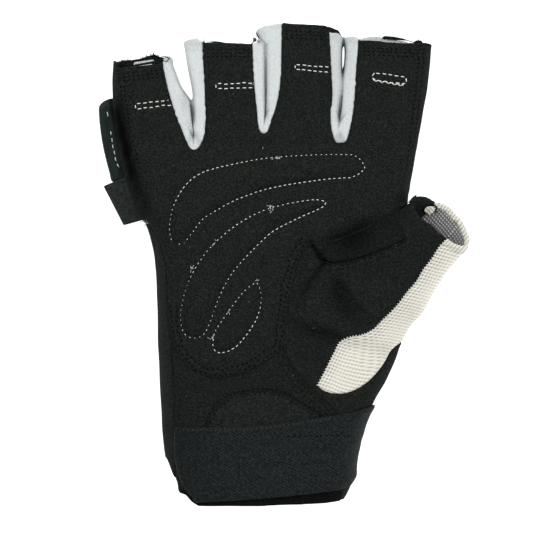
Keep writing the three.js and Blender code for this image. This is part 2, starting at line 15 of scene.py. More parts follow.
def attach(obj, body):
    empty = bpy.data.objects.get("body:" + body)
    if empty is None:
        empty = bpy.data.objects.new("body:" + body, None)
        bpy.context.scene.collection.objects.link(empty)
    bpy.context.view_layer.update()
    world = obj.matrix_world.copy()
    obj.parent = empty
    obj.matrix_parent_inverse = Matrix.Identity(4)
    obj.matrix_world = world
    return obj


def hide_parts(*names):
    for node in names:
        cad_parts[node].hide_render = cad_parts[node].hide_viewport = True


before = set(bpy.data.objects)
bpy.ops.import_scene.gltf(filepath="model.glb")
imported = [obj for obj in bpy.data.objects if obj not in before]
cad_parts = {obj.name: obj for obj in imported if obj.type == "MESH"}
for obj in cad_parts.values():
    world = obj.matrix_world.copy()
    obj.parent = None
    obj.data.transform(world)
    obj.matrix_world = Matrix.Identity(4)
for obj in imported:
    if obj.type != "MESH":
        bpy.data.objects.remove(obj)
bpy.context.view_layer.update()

# ---------------------------------------------------------------- driving sizes, in millimetres
SHIFT_X, SHIFT_Y = 0.1272, -0.0404  # middle of the solids' box in the drawing frame
PX = 0.34  # one pixel of the photograph at the palm
STEP = 0.5  # grid spacing
WALL = 1.5  # sewn cloth with its lining
BAND_GAP, BAND = 0.25, 1.5  # the elastic band stands off the wrist wall by the first and is the second thick
SIDE_SEAM_Z = 9.0
LOW, HIGH = (-66.0, -86.0, -1.2), (67.0, 84.0, 33.6)
DISTANCE = 1.6  # metres from the palm to the camera


def to_frame(p):
    """Drawing millimetres to metres in the shared frame."""
    p = np.asarray(p, dtype=float)
    return (p - np.array([SHIFT_X, SHIFT_Y, 0.0])) / 1000.0


def photo(x, y):
    """A pixel of the photograph to drawing millimetres at the palm."""
    return ((x - 282.5) * PX, (263 - y) * PX)


def low_photo(x, y, z):
    """A pixel of the photograph to drawing millimetres at a height below the palm's, as the camera sees it."""
    k = 1 + (18.0 - z) / 1000.0 / DISTANCE
    mx, my = photo(266.5, 266.5)
    px, py = photo(x, y)
    return (mx + (px - mx) * k, my + (py - my) * k)


# ---------------------------------------------------------------- section tables
def table(names, *rows):
    return {n: np.array([r[i] for r in rows], dtype=float) for i, n in enumerate(names.split())}


HAND = table(
    "y left right under top round",
    (-81.9, -32.0, 19.4, 1.9, 20.6, 7.0),
    (-78.4, -35.4, 21.6, 1.9, 21.0, 7.0),
    (-75.1, -36.4, 23.0, 1.9, 21.4, 7.0),
    (-65.3, -39.4, 24.3, 1.9, 22.0, 7.0),
    (-54.7, -40.4, 27.2, 1.9, 22.4, 7.0),
    (-46.4, -40.9, 31.0, 1.8, 22.6, 7.0),
    (-39.8, -41.4, 34.8, 0.0, 22.8, 7.0),
    (-27.2, -41.9, 39.4, 0.0, 22.8, 7.5),
    (-12.6, -42.2, 40.4, 0.0, 22.0, 7.0),
    (0.4, -42.9, 40.8, 0.0, 21.0, 6.5),
    (10.5, -45.0, 41.5, 0.0, 20.2, 6.0),
    (19.7, -49.4, 42.3, 0.0, 19.4, 5.5),
    (29.6, -52.9, 43.2, 0.0, 18.6, 5.2),
    (34.6, -54.1, 43.8, 0.0, 18.1, 5.0),
    (38.2, -54.5, 44.2, 0.2, 17.3, 5.0),
    (40.4, -54.3, 44.6, 1.8, 15.2, 5.0),
)
FINGER_COLUMNS = "y left right under top round"
FINGERS = {
    "little": table(
        FINGER_COLUMNS,
        (30.0, -51.8, -29.2, 0.5, 17.4, 5.0),
        (36.4, -54.9, -29.6, 0.0, 18.0, 5.0),
        (42.4, -56.3, -30.0, 0.0, 17.4, 4.8),
        (49.3, -57.3, -30.9, 0.2, 16.8, 4.6),
        (55.1, -57.8, -31.5, 0.8, 16.4, 4.4),
        (60.6, -58.0, -34.6, 1.8, 16.4, 4.2),
        (67.8, -57.6, -37.4, 3.2, 16.8, 4.0),
    ),
    "ring": table(
        FINGER_COLUMNS,
        (30.0, -31.8, -4.8, 0.5, 17.6, 5.0),
        (36.4, -31.2, -4.9, 0.0, 18.4, 5.0),
        (42.4, -30.4, -4.2, 0.0, 17.8, 4.8),
        (49.3, -29.8, -5.9, 0.0, 17.2, 4.6),
        (57.1, -30.6, -6.2, 0.2, 16.8, 4.6),
        (66.0, -32.2, -6.2, 0.6, 16.2, 4.4),
        (75.0, -33.8, -6.4, 1.2, 15.8, 4.2),
    ),
    "middle": table(
        FINGER_COLUMNS,
        (30.0, -7.4, 21.4, 0.5, 17.8, 5.0),
        (36.4, -7.0, 21.2, 0.0, 18.6, 5.0),
        (42.4, -7.0, 20.2, 0.0, 18.0, 4.8),
        (49.3, -5.2, 18.8, 0.0, 17.4, 4.6),
        (61.2, -5.1, 20.0, 0.4, 16.8, 4.5),
        (73.6, -5.2, 20.3, 1.0, 16.4, 4.3),
        (76.4, -7.6, 20.8, 1.2, 16.4, 4.3),
        (79.4, -9.2, 20.9, 1.5, 16.4, 4.2),
        (81.0, -9.4, 20.9, 1.6, 16.4, 4.2),
    ),
    "index": table(
        FINGER_COLUMNS,
        (30.0, 17.0, 42.6, 0.5, 17.6, 5.0),
        (36.4, 17.6, 44.5, 0.0, 18.4, 5.0),
        (42.4, 18.7, 46.3, 0.0, 17.8, 4.8),
        (49.3, 19.8, 47.6, 0.0, 17.2, 4.6),
        (56.9, 20.5, 48.9, 0.3, 16.8, 4.6),
        (65.4, 21.1, 50.0, 0.9, 16.4, 4.4),
        (72.6, 21.5, 50.7, 1.6, 16.5, 4.3),
        (75.7, 21.1, 51.0, 1.8, 16.6, 4.2),
    ),
}
RIM_COLUMNS = "x y"
# Where each finger's cut rim runs across the photograph, in its pixels: the palm's edge with the gussets beside
# it, and the back's, which stands out past it here and there.
RIMS = {
    "little": dict(
        palm=table(RIM_COLUMNS, (108, 61.6), (114.4, 62.0), (117.6, 69.8), (134.3, 68.2), (161.5, 65.2), (163.4, 60.4), (165.0, 57.6), (169.0, 56.8), (171.4, 58.2), (173.0, 60.4), (178.0, 62.0)),
        back=table(RIM_COLUMNS, (108, 62.6), (114.2, 62.0), (122.1, 60.8), (131.3, 60.2), (138.0, 60.0), (145.3, 57.4), (151.5, 55.2), (154.0, 54.6), (158.8, 57.2), (162.0, 58.2), (172.0, 58.5)),
    ),
    "ring": dict(
        palm=table(RIM_COLUMNS, (178, 42.2), (183.0, 42.0), (186.2, 41.0), (190.0, 39.9), (193.8, 38.7), (197.2, 38.2), (198.6, 40.3), (200.4, 41.4), (203.2, 40.9), (204.6, 44.3), (228.0, 44.8), (251.0, 45.0), (253.0, 43.6), (256.0, 42.6), (266.0, 45.0), (270.0, 46.0)),
        back=table(RIM_COLUMNS, (178, 44.5), (204.0, 44.6), (251.0, 44.8), (256.0, 44.0), (262.0, 45.5), (270.0, 46.5)),
    ),
    "middle": dict(
        palm=table(RIM_COLUMNS, (252, 32.5), (256.0, 30.0), (262.0, 27.4), (270.0, 25.3), (278.0, 23.8), (282.6, 22.8), (284.6, 23.7), (294.0, 25.0), (314.0, 25.5), (324.0, 26.8), (326.6, 31.6), (329.0, 30.6), (330.6, 33.2), (337.8, 33.2), (340.4, 35.8), (347.0, 38.4)),
        back=table(RIM_COLUMNS, (252, 34.0), (262.0, 29.0), (283.0, 24.2), (294.0, 24.4), (324.0, 26.4), (332.0, 28.8), (338.0, 30.6), (339.5, 33.2), (341.5, 38.0), (347.0, 42.0)),
    ),
    "index": dict(
        palm=table(RIM_COLUMNS, (341, 38.6), (345.5, 37.9), (348.6, 37.0), (353.0, 36.9), (357.2, 36.8), (359.0, 38.6), (360.4, 41.4), (371.0, 41.6), (382.0, 42.5), (385.0, 43.5), (401.0, 44.2), (415.0, 44.5), (424.0, 44.0), (431.0, 45.5), (436.0, 46.5)),
        back=table(RIM_COLUMNS, (342, 44.0), (352.0, 39.0), (359.0, 41.0), (382.0, 42.5), (385.0, 43.2), (401.0, 43.9), (415.0, 43.9), (424.0, 43.4), (431.0, 44.8), (436.0, 46.0)),
    ),
}
RIM_MORE = 0.34  # what the rounding of a cut edge takes off
# The gusset on each side of a finger, and how far up the two sides of a gap lie against each other.
BESIDE = {
    "little": (None, "gusset_little_ring"),
    "ring": ("gusset_little_ring", "gusset_ring_middle"),
    "middle": ("gusset_ring_middle", "gusset_middle_index"),
    "index": ("gusset_middle_index", None),
}
SHUT = {"gusset_little_ring": 57.0, "gusset_ring_middle": 99.0, "gusset_middle_index": 65.5}
# How far each side of a gap reaches towards the other: where the gap is open, and where it is shut.
REACH = {"gusset_little_ring": (0.0, 0.46), "gusset_ring_middle": (0.52, 0.52), "gusset_middle_index": (0.20, 0.46)}
GUSSET_Z = 7.6  # below this the back's dark cloth runs down between the fingers
TURN = 1.2  # how tightly a finger's sides turn down where a gusset fills them; the others keep their table's round
THUMB = table(
    "x y z width height heading rise",
    (15.4, -24.0, 11.4, 27.0, 17.0, 46, 3),
    (24.6, -15.4, 12.0, 35.0, 21.0, 45, 7),
    (34.2, -5.6, 14.2, 35.4, 20.6, 44, 14),
    (42.2, 2.0, 17.0, 29.6, 18.6, 43, 20),
    (48.3, 7.9, 19.8, 26.0, 17.0, 43, 25),
    (51.4, 11.3, 21.6, 25.2, 16.7, 43, 27),
    (53.9, 14.7, 23.0, 25.3, 16.4, 43, 28),
)
THUMB_TIP = (54.8, 13.7)
# Folds and dents pressed into the cloth, each a line across the photograph in its pixels: how deep it is at
# each point in millimetres, and how far it spreads to its left and right. Sharp ones crease, others only dent.
FOLD_COLUMNS = "x y depth left right"
FOLDS = {
    "web_fold sharp": table(
        FOLD_COLUMNS,
        (314, 245, 0.3, 1.6, 2.6), (326, 242, 1.5, 1.8, 4.0), (338, 239, 3.2, 2.6, 5.4), (350, 236, 3.8, 3.0, 6.0), (360, 230, 3.4, 3.0, 5.6),
        (369, 225, 2.0, 2.4, 4.6), (382, 220, 1.0, 2.0, 4.0), (398, 212, 0.6, 2.0, 3.0), (408, 206, 0.3, 1.6, 2.0),
    ),
    "web_corner sharp": table(
        FOLD_COLUMNS,
        (310, 243, 0.5, 0.9, 0.9), (318, 253, 1.2, 1.1, 1.1), (325, 262, 1.7, 1.3, 1.5), (317, 272, 1.5, 1.6, 1.6), (309, 283, 1.2, 1.8, 1.6), (302, 296, 0.9, 1.8, 1.6), (296, 309, 0.7, 1.6, 1.4), (291, 324, 0.4, 1.2, 1.2),
    ),
    "ball_dent soft": table(
        FOLD_COLUMNS,
        (331, 268, 0.3, 3.0, 3.0), (335, 282, 1.2, 3.2, 3.0), (338, 296, 1.7, 3.0, 3.0), (345, 308, 1.5, 2.8, 3.0), (355, 318, 0.9, 2.4, 2.6), (366, 324, 0.3, 2.0, 2.0),
    ),
    "ball_ridge soft": table(
        FOLD_COLUMNS,
        (304, 308, -0.2, 3.0, 3.0), (316, 313, -0.8, 3.2, 3.2), (328, 320, -1.0, 3.0, 3.0), (340, 328, -0.8, 2.4, 2.4), (350, 334, -0.2, 2.0, 2.0),
    ),
    "notch_crease sharp": table(
        FOLD_COLUMNS,
        (286, 318, 0.3, 1.6, 2.2), (297, 325, 1.0, 2.0, 2.6), (311, 331, 1.6, 2.0, 3.0), (325, 335, 1.8, 1.8, 3.0), (338, 338, 1.2, 1.6, 2.4), (345, 340, 0.5, 1.2, 1.6),
    ),
    "below_notch soft": table(
        FOLD_COLUMNS,
        (292, 340, 0.3, 2.4, 2.4), (304, 350, 0.8, 2.6, 2.6), (318, 362, 0.8, 2.4, 2.4), (326, 374, 0.3, 2.0, 2.0),
    ),
    "thumb_dent soft": table(
        FOLD_COLUMNS,
        (346, 266, 0.2, 3.4, 3.4), (362, 272, 0.6, 3.8, 3.8), (380, 270, 0.7, 3.8, 3.8), (398, 262, 0.5, 3.2, 3.2), (412, 252, 0.2, 2.6, 2.6),
    ),
    "palm_edge soft": table(
        FOLD_COLUMNS,
        (297, 244, 0.2, 1.8, 1.8), (303, 256, 0.6, 2.0, 1.6), (302, 270, 0.7, 2.0, 1.6), (297, 288, 0.5, 1.8, 1.6), (293, 306, 0.2, 1.6, 1.6),
    ),
    "heel_dent soft": table(
        FOLD_COLUMNS,
        (188, 392, 0.2, 3.0, 3.0), (215, 386, 0.6, 3.4, 3.4), (250, 382, 0.7, 3.6, 3.6), (285, 384, 0.5, 3.0, 3.0), (310, 392, 0.2, 2.6, 2.6),
    ),
    "side_dent soft": table(
        FOLD_COLUMNS,
        (131, 178, 0.2, 3.4, 3.4), (143, 206, 0.7, 4.2, 4.2), (157, 236, 0.8, 4.4, 4.4), (170, 268, 0.5, 4.0, 4.0), (176, 300, 0.2, 3.6, 3.6),
    ),
    "knuckle_dent soft": table(
        FOLD_COLUMNS,
        (196, 158, 0.2, 4.0, 4.0), (240, 147, 0.5, 4.6, 4.6), (290, 142, 0.5, 4.6, 4.6), (345, 147, 0.6, 4.6, 4.6), (390, 158, 0.3, 4.0, 4.0),
    ),
    "index_dent soft": table(
        FOLD_COLUMNS,
        (372, 196, 0.2, 4.2, 4.2), (384, 178, 0.7, 4.6, 4.6), (392, 156, 0.6, 4.2, 4.2), (396, 132, 0.2, 3.6, 3.6),
    ),
}

# Creases in the pale gussets, drawn as lines of painted shade: place across the photograph and how dark the line is
# there.
CREASE_COLUMNS = "x y dark"
CREASES = {
    "ring_line": table(CREASE_COLUMNS, (266.4, 47.0, 0.4), (266.2, 80.0, 0.6), (266.0, 103.0, 0.8)),
    "middle_line": table(CREASE_COLUMNS, (344.0, 74.0, 0.1), (343.2, 84.0, 0.35), (342.5, 95.0, 0.6)),
    "ring_left_hem": table(CREASE_COLUMNS, (182.6, 51.0, 0.10), (190.0, 50.0, 0.16), (198.0, 49.4, 0.10)),
    "little_tip": table(CREASE_COLUMNS, (190.2, 104.0, 0.9), (192.2, 120.0, 1.0), (193.6, 134.0, 0.9), (193.2, 143.0, 0.4)),
    "little_pinch": table(CREASE_COLUMNS, (187.6, 126.0, 0.2), (190.8, 133.0, 0.7), (193.4, 138.0, 0.8)),
    "ring_tip": table(CREASE_COLUMNS, (265.8, 104.0, 0.9), (264.8, 116.0, 1.0), (264.2, 124.0, 0.5)),
    "ring_pinch": table(CREASE_COLUMNS, (269.4, 108.0, 0.2), (266.8, 113.0, 0.6), (264.9, 117.0, 0.8)),
    "middle_tip": table(CREASE_COLUMNS, (342.4, 96.0, 0.9), (341.2, 110.0, 1.0), (339.8, 120.0, 0.9), (338.6, 128.0, 0.4)),
    "middle_pinch": table(CREASE_COLUMNS, (336.2, 110.0, 0.2), (338.4, 115.0, 0.6), (340.2, 119.0, 0.8)),
    "middle_pinch_far": table(CREASE_COLUMNS, (346.6, 112.0, 0.2), (343.4, 117.0, 0.5), (340.4, 121.0, 0.7)),
}
# Soft shaded places of the gussets, where they turn away: place, half sizes along and across, and how dark.
SHADED = table(
    "x y wide high dark",
    (185.0, 98.0, 4.5, 18.0, 0.24), (190.6, 118.0, 2.6, 16.0, 0.12), (192.0, 43.0, 13.0, 6.0, 0.16), (167.0, 59.0, 6.0, 3.6, 0.22),
    (260.0, 35.0, 5.0, 7.0, 0.24), (261.0, 42.4, 6.5, 2.6, 0.16), (264.6, 98.0, 1.6, 26.0, 0.08), (274.0, 25.0, 12.0, 4.5, 0.10),
    (341.0, 60.0, 2.0, 26.0, 0.14), (335.0, 70.0, 9.0, 50.0, 0.14), (341.0, 104.0, 3.0, 22.0, 0.10), (350.0, 58.0, 5.0, 34.0, 0.10), (335.0, 36.0, 9.0, 4.0, 0.14), (350.0, 40.0, 9.0, 4.0, 0.16),
)

# ---------------------------------------------------------------- seams
GUSSETS = {
    "gusset_little_ring": ((-30.2, 38.4), table(
        "y left right",
        (38.8, -31.4, -28.9), (39.8, -32.0, -28.0), (41.4, -32.7, -27.2), (43.2, -33.5, -26.6), (45.5, -34.4, -26.2), (50.5, -36.4, -26.0),
        (56.5, -38.3, -26.3), (62.5, -39.8, -26.5), (68.0, -40.8, -26.9), (92.0, -42.8, -27.4),
    )),
    "gusset_ring_middle": ((-6.3, 43.9), table(
        "y left right",
        (44.2, -7.3, -5.4), (45.0, -7.8, -4.9), (46.2, -8.2, -4.4), (47.6, -8.4, -4.0), (49.4, -8.6, -3.4), (54.0, -9.0, -1.9), (60.0, -9.6, -0.8), (68.0, -10.1, -0.3), (92.0, -10.6, 0.0),
    )),
    "gusset_middle_index": ((19.7, 40.6), table(
        "y left right",
        (40.9, 18.2, 21.3), (41.8, 17.6, 22.0), (43.5, 17.1, 22.5), (46.9, 16.4, 23.3), (51.3, 16.3, 24.1), (57.0, 16.9, 24.7), (66.0, 16.5, 25.2), (78.0, 15.9, 26.2), (92.0, 15.4, 27.2),
    )),
}
# Padded cells: a bent centre line and its half width.
PADS = {
    "knuckle": table(
        "x y half",
        (-35.6, 6.9, 2.0), (-35.1, 9.4, 3.3), (-33.6, 14.0, 4.7), (-31.2, 18.6, 5.7), (-25.9, 23.7, 6.8), (-16.0, 27.7, 5.9),
        (-4.2, 30.6, 5.1), (8.0, 32.1, 4.5), (17.4, 32.8, 4.1), (23.4, 32.9, 3.9), (26.2, 32.6, 2.6),
    ),
    "middle": table(
        "x y half",
        (-29.9, -24.9, 2.6), (-29.9, -23.4, 3.7), (-29.8, -20.9, 4.7), (-29.0, -16.6, 5.4), (-26.9, -9.6, 5.8), (-22.4, -1.2, 5.7),
        (-14.6, 7.2, 5.2), (-5.0, 14.2, 3.9), (5.0, 18.0, 2.7), (11.6, 19.8, 1.7), (14.2, 20.3, 0.8),
    ),
    "leaf": table(
        "x y half",
        (-22.6, -29.6, 1.4), (-20.8, -27.6, 3.4), (-18.4, -24.6, 4.6), (-14.2, -18.8, 4.8), (-11.0, -13.0, 3.9), (-9.4, -8.6, 2.0), (-9.0, -7.0, 0.6),
    ),
}
PALM_HEM = [(-38.9, -14), (-38.4, -22), (-36.6, -29), (-32.6, -34.8), (-26.8, -38.2), (-20.6, -39.0), (-14.0, -37.6), (-7.0, -34.2), (0.2, -29.0)]
THUMB_SEAM = [(9.4, 6.8), (7.0, 4.0), (5.2, 0.0), (3.2, -7.0), (2.0, -13.0), (1.2, -20.0), (0.2, -29.0)]
BALL_SEAM = [(0.2, -29.0), (2.0, -33.6), (5.0, -37.6), (10.4, -43.4), (17.0, -49.6), (20.0, -54.0)]
WEB_FOLD = [(9.4, 6.8), (14.6, 6.9), (19.0, 8.0), (23.0, 9.6), (28.4, 11.8), (33.2, 14.0), (38.8, 17.2), (42.6, 20.4)]
WEB_SEAM = [(9.4, 6.8), (11.0, 3.6), (13.4, 0.6), (16.4, 0.0), (19.4, 0.2), (26.4, 1.7), (34.2, 4.6), (41.4, 7.8)]
KNIT_SEAM = [
    (62.0, 16.0), (55.9, 8.5), (53.0, 5.6), (50.4, 1.4), (47.6, -2.2), (45.4, -6.1), (42.0, -10.1), (38.6, -14.6),
    (34.2, -19.0), (30.0, -23.0), (26.8, -24.4), (23.0, -25.0), (19.6, -26.7), (17.2, -30.9), (14.4, -36.5), (11.8, -41.4),
]
KNIT_HEM = [(11.8, -41.4), (13.0, -42.8), (14.4, -43.5), (18.4, -44.4), (21.6, -44.1), (24.6, -43.0), (27.6, -41.2), (30.4, -38.8), (34.4, -33.9), (36.9, -29.6), (40.0, -27.2), (48.0, -24.0)]
KNIT_BACK = [(58.5, 26.5), (51.7, 19.9), (45.0, 13.0), (38.0, 4.0), (33.0, -6.0), (31.5, -20.0), (37.2, -30.0), (46.0, -34.0)]
HEEL_PATCH = [
    (-25.8, -58.0), (-25.0, -54.0), (-23.4, -50.2), (-19.0, -46.0), (-15.2, -44.6), (-11.4, -43.9), (-5.0, -43.5),
    (1.0, -44.9), (6.4, -48.2), (11.9, -51.6), (14.4, -54.0), (15.6, -58.0),
]
CUFF_TOP = [(-60, -55.5), (-36.6, -55.5), (-24.0, -55.5), (-12.5, -55.4), (3.7, -53.6), (14.6, -51.9), (22.8, -50.8), (30.4, -48.5), (50, -44.0)]
CUFF_FOOT = [(-60, -81.4), (-29.0, -81.4), (-12.5, -80.5), (9.2, -78.5), (19.6, -77.0), (23.2, -75.9), (25.0, -73.6), (50, -66.0)]
CUFF_SIDE = [(-37.5, -50.0), (-36.7, -55.5), (-37.0, -62.0), (-36.6, -67.4), (-35.0, -72.8), (-33.4, -76.6), (-30.6, -79.6), (-28.6, -84.0)]  # where the band ends along the little finger's side
WRIST_FOOT = [(-60, -64.0), (-39.4, -65.9), (-37.4, -71.2), (-35.8, -73.8), (-35.4, -77.5), (-32.9, -78.2), (-30.9, -80.5), (-28.6, -81.9), (-7.0, -82.0), (9.0, -81.2), (20.2, -80.4), (23.0, -78.6), (24.6, -76.2), (26.8, -73.6), (50, -64.0)]
WEB_END = [(38.6, 13.6), (39.4, 12.0), (41.2, 8.6)]
# Seams of the dark cloth that show as soft shade: half width and share.
WEB_CORNER = [(9.2, 8.2), (11.8, 4.2), (14.6, 0.4)]
BALL_CREASE = [(14.6, 0.4), (11.7, -3.1), (9.0, -6.8), (6.9, -10.6)]
SEAM_SHADE = (
    (WEB_SEAM, 0.6, 0.45), (WEB_END, 0.6, 0.25), (WEB_CORNER, 0.5, 0.45), (BALL_CREASE, 0.6, 0.45), (HEEL_PATCH, 0.8, 0.26), (BALL_SEAM, 0.6, 0.32), (PALM_HEM, 0.5, 0.18),
)
# Places of the dark cloth where something beside them keeps the light off: half sizes along and across, and how dark.
DARK_PLACES = table(
    "x y wide high dark",
    (117.5, 112.0, 6.0, 14.0, 0.75), (121.5, 132.0, 6.0, 14.0, 0.85), (126.5, 152.0, 6.0, 14.0, 0.85), (131.5, 172.0, 6.0, 13.0, 0.80), (138.0, 190.0, 6.0, 12.0, 0.50),
    (145.0, 208.0, 6.0, 12.0, 0.40),
)
# How much shade is painted into the cloth's colour down in a fold, as a share of its own colour.
FOLD_SHADE = {
    "web_fold sharp": 0.55, "web_corner sharp": 0.22, "ball_dent soft": 0.52, "notch_crease sharp": 0.45, "thumb_dent soft": 0.12,
    "palm_edge soft": 0.20, "below_notch soft": 0.10, "side_dent soft": 0.05,
}
LOOK = dict(
    palm=(0.0077, 0.0096, 0.0088),
    back=(0.0092, 0.0110, 0.0104),
    lycra=(0.530, 0.556, 0.560),
    knit=(0.725, 0.70, 0.625),
    elastic=(0.0070, 0.0090, 0.0086),
    strap=(0.0060, 0.0088, 0.0078),
    tab=(0.0170, 0.0205, 0.0190),
    pale_thread=(0.66, 0.67, 0.64),
    dark_thread=(0.0030, 0.0030, 0.0030),
    hem_thread=(0.032, 0.033, 0.029),
    lining=(0.50, 0.52, 0.53),
)


# ---------------------------------------------------------------- smooth lines through the rows
def slopes(t, v):
    """Slopes of a smooth curve through the rows that never overshoots them."""
    h, d = np.diff(t), np.diff(v) / np.diff(t)
    m = np.zeros(len(v))
    for i in range(1, len(v) - 1):
        if d[i - 1] * d[i] > 0:
            w1, w2 = 2 * h[i] + h[i - 1], h[i] + 2 * h[i - 1]
            m[i] = (w1 + w2) / (w1 / d[i - 1] + w2 / d[i])
    m[0], m[-1] = d[0], d[-1]
    return m


def smooth(rows, key, column, fine=0.25):
    """A function of the key column that passes smoothly through the rows of another."""
    t, v = rows[key], rows[column]
    m = slopes(t, v)
    at = np.arange(t[0], t[-1] + fine, fine)
    k = np.clip(np.searchsorted(t, at, side="right") - 1, 0, len(t) - 2)
    h = t[k + 1] - t[k]
    s = np.clip((at - t[k]) / h, 0, 1)
    out = (
        v[k] * (2 * s**3 - 3 * s**2 + 1) + m[k] * h * (s**3 - 2 * s**2 + s)
        + v[k + 1] * (3 * s**2 - 2 * s**3) + m[k + 1] * h * (s**3 - s**2)
    )
    return lambda q: np.interp(q, at, out)


def along_points(points):
    """A table's points with their running length as the key column."""
    p = np.asarray(points, dtype=float)
    t = np.concatenate([[0], np.cumsum(np.hypot(*np.diff(p, axis=0).T))])
    return {"t": t, "x": p[:, 0], "y": p[:, 1]}


def curve(points, spacing=0.5):
    """Evenly spaced points of a smooth curve through the given ones."""
    rows = along_points(points)
    t = np.linspace(0, rows["t"][-1], max(3, int(rows["t"][-1] / spacing) + 1))
    # plain Catmull-Rom keeps a bend round where the no-overshoot curve would flatten it
    out = []
    for c in ("x", "y"):
        v, k = rows[c], rows["t"]
        m = np.gradient(v, k)
        i = np.clip(np.searchsorted(k, t, side="right") - 1, 0, len(k) - 2)
        h = k[i + 1] - k[i]
        s = (t - k[i]) / h
        out.append(
            v[i] * (2 * s**3 - 3 * s**2 + 1) + m[i] * h * (s**3 - 2 * s**2 + s)
            + v[i + 1] * (3 * s**2 - 2 * s**3) + m[i + 1] * h * (s**3 - s**2)
        )
    return np.column_stack(out)


def offset_line(path, by):
    """A line beside another, to its left where the distance is positive."""
    d = np.gradient(path, axis=0)
    d /= np.maximum(np.hypot(d[:, 0], d[:, 1]), 1e-9)[:, None]
    return path + np.column_stack([-d[:, 1], d[:, 0]]) * by


def polygon_distance(px, py, polygon):
    """Distance to a closed outline, negative inside it."""
    p = np.asarray(polygon, dtype=float)
    best = np.full(px.shape, 1e9)
    inside = np.zeros(px.shape, dtype=bool)
    for (ax, ay), (bx, by) in zip(p, np.roll(p, -1, axis=0)):
        ex, ey = bx - ax, by - ay
        wx, wy = px - ax, py - ay
        k = np.clip((wx * ex + wy * ey) / max(ex * ex + ey * ey, 1e-12), 0, 1)
        best = np.minimum(best, (wx - ex * k) ** 2 + (wy - ey * k) ** 2)
        crosses = (ay > py) != (by > py)
        with np.errstate(divide="ignore", invalid="ignore"):
            inside ^= crosses & (px < ex * (py - ay) / (ey if ey else 1e-12) + ax)
    return np.where(inside, -1, 1) * np.sqrt(best)


def line_distance(px, py, line):
    """Distance to an open line."""
    best = np.full(px.shape, 1e9)
    for (ax, ay), (bx, by) in zip(line[:-1], line[1:]):
        ex, ey = bx - ax, by - ay
        k = np.clip(((px - ax) * ex + (py - ay) * ey) / max(ex * ex + ey * ey, 1e-12), 0, 1)
        best = np.minimum(best, (px - ax - ex * k) ** 2 + (py - ay - ey * k) ** 2)
    return np.sqrt(best)


def pad_outline(rows, drawn=0.0, spacing=0.4):
    """Both sides of a pad's centre line, with its rounded ends."""
    line = along_points(np.column_stack([rows["x"], rows["y"]]))
    line["half"] = rows["half"]
    t = np.linspace(0, line["t"][-1], 80)
    x, y, half = (smooth(line, "t", c)(t) for c in ("x", "y", "half"))
    dx, dy = np.gradient(x), np.gradient(y)
    n = np.hypot(dx, dy)
    dx, dy, half = dx / n, dy / n, np.maximum(half - drawn, 0.05)
    left = np.column_stack([x - dy * half, y + dx * half])
    right = np.column_stack([x + dy * half, y - dx * half])
    tip = lambda i, s: [(x[i] + s * dx[i] * half[i], y[i] + s * dy[i] * half[i])]
    ring = np.vstack([left, tip(-1, 0.8), right[::-1], tip(0, -0.25), left[:1]])
    rows = along_points(ring)
    at = np.arange(0, rows["t"][-1], spacing)
    return np.column_stack([np.interp(at, rows["t"], rows["x"]), np.interp(at, rows["t"], rows["y"])])


# ---------------------------------------------------------------- the forms as distances
def smin(a, b, k):
    h = np.maximum(k - np.abs(a - b), 0) / k
    return np.minimum(a, b) - h * h * k * 0.25


def smax(a, b, k):
    return -smin(-a, -b, k)


def noise3(X, Y, Z, scale, seed, octaves=3):
    """Soft random unevenness, the same on every run: a few waves in fixed random directions."""
    rng = np.random.RandomState(seed)
    out = 0
    for o in range(octaves):
        for _ in range(5):
            d = rng.normal(size=3)
            d /= np.linalg.norm(d)
            out = out + np.sin((d[0] * X + d[1] * Y + d[2] * Z) * (2 * math.pi / scale) * (1.7**o) + rng.uniform(0, 6.28)) / (1.8**o) / 5
    return out


def section_distance(rows, X, Y, Z, grow, crown, turns=(None, None), more=(0.0, 0.0)):
    """Distance to a loft along Y whose sections have a crowned top, elliptic sides and a flat underside."""
    left, right, under, top, rnd = (smooth(rows, "y", c)(Y) for c in ("left", "right", "under", "top", "round"))
    left, right, under, top = left - grow - more[0], right + grow + more[1], under - grow, top + grow
    cx, a = (left + right) / 2, (right - left) / 2
    near = np.clip((Y - 40.0) / 5.0, 0, 1)
    for turn, side in zip(turns, (X < cx, X >= cx)):
        if turn is not None:
            rnd = np.where(side, rnd * (1 - near) + turn * near, rnd)
    rnd = np.maximum(1.2, rnd + grow * 0.75)
    top = top + crown * np.clip(1 - ((X - cx) / a) ** 2, 0, 1)
    mid, h = (top + under) / 2, (top - under) / 2
    q, dz = np.abs(X - cx) - (a - rnd), np.abs(Z - mid)
    flat = dz - h
    f = np.sqrt((np.maximum(q, 0) / rnd) ** 2 + (dz / h) ** 2)
    g = np.sqrt((np.maximum(q, 0) / rnd**2) ** 2 + (dz / h**2) ** 2)
    side = (f - 1) * f / np.maximum(g, 1e-3)
    return np.where(q > 0, side, flat)


THUMB_DIR = np.array([math.cos(math.radians(43.5)), math.sin(math.radians(43.5))])
TIP = np.array(THUMB_TIP)
_s = (THUMB["x"] - TIP[0]) * THUMB_DIR[0] + (THUMB["y"] - TIP[1]) * THUMB_DIR[1]
_t = -(THUMB["x"] - TIP[0]) * THUMB_DIR[1] + (THUMB["y"] - TIP[1]) * THUMB_DIR[0]
THUMB_LINE = {"s": _s, "t": _t, "z": THUMB["z"], "width": THUMB["width"], "height": THUMB["height"], "rise": THUMB["rise"]}


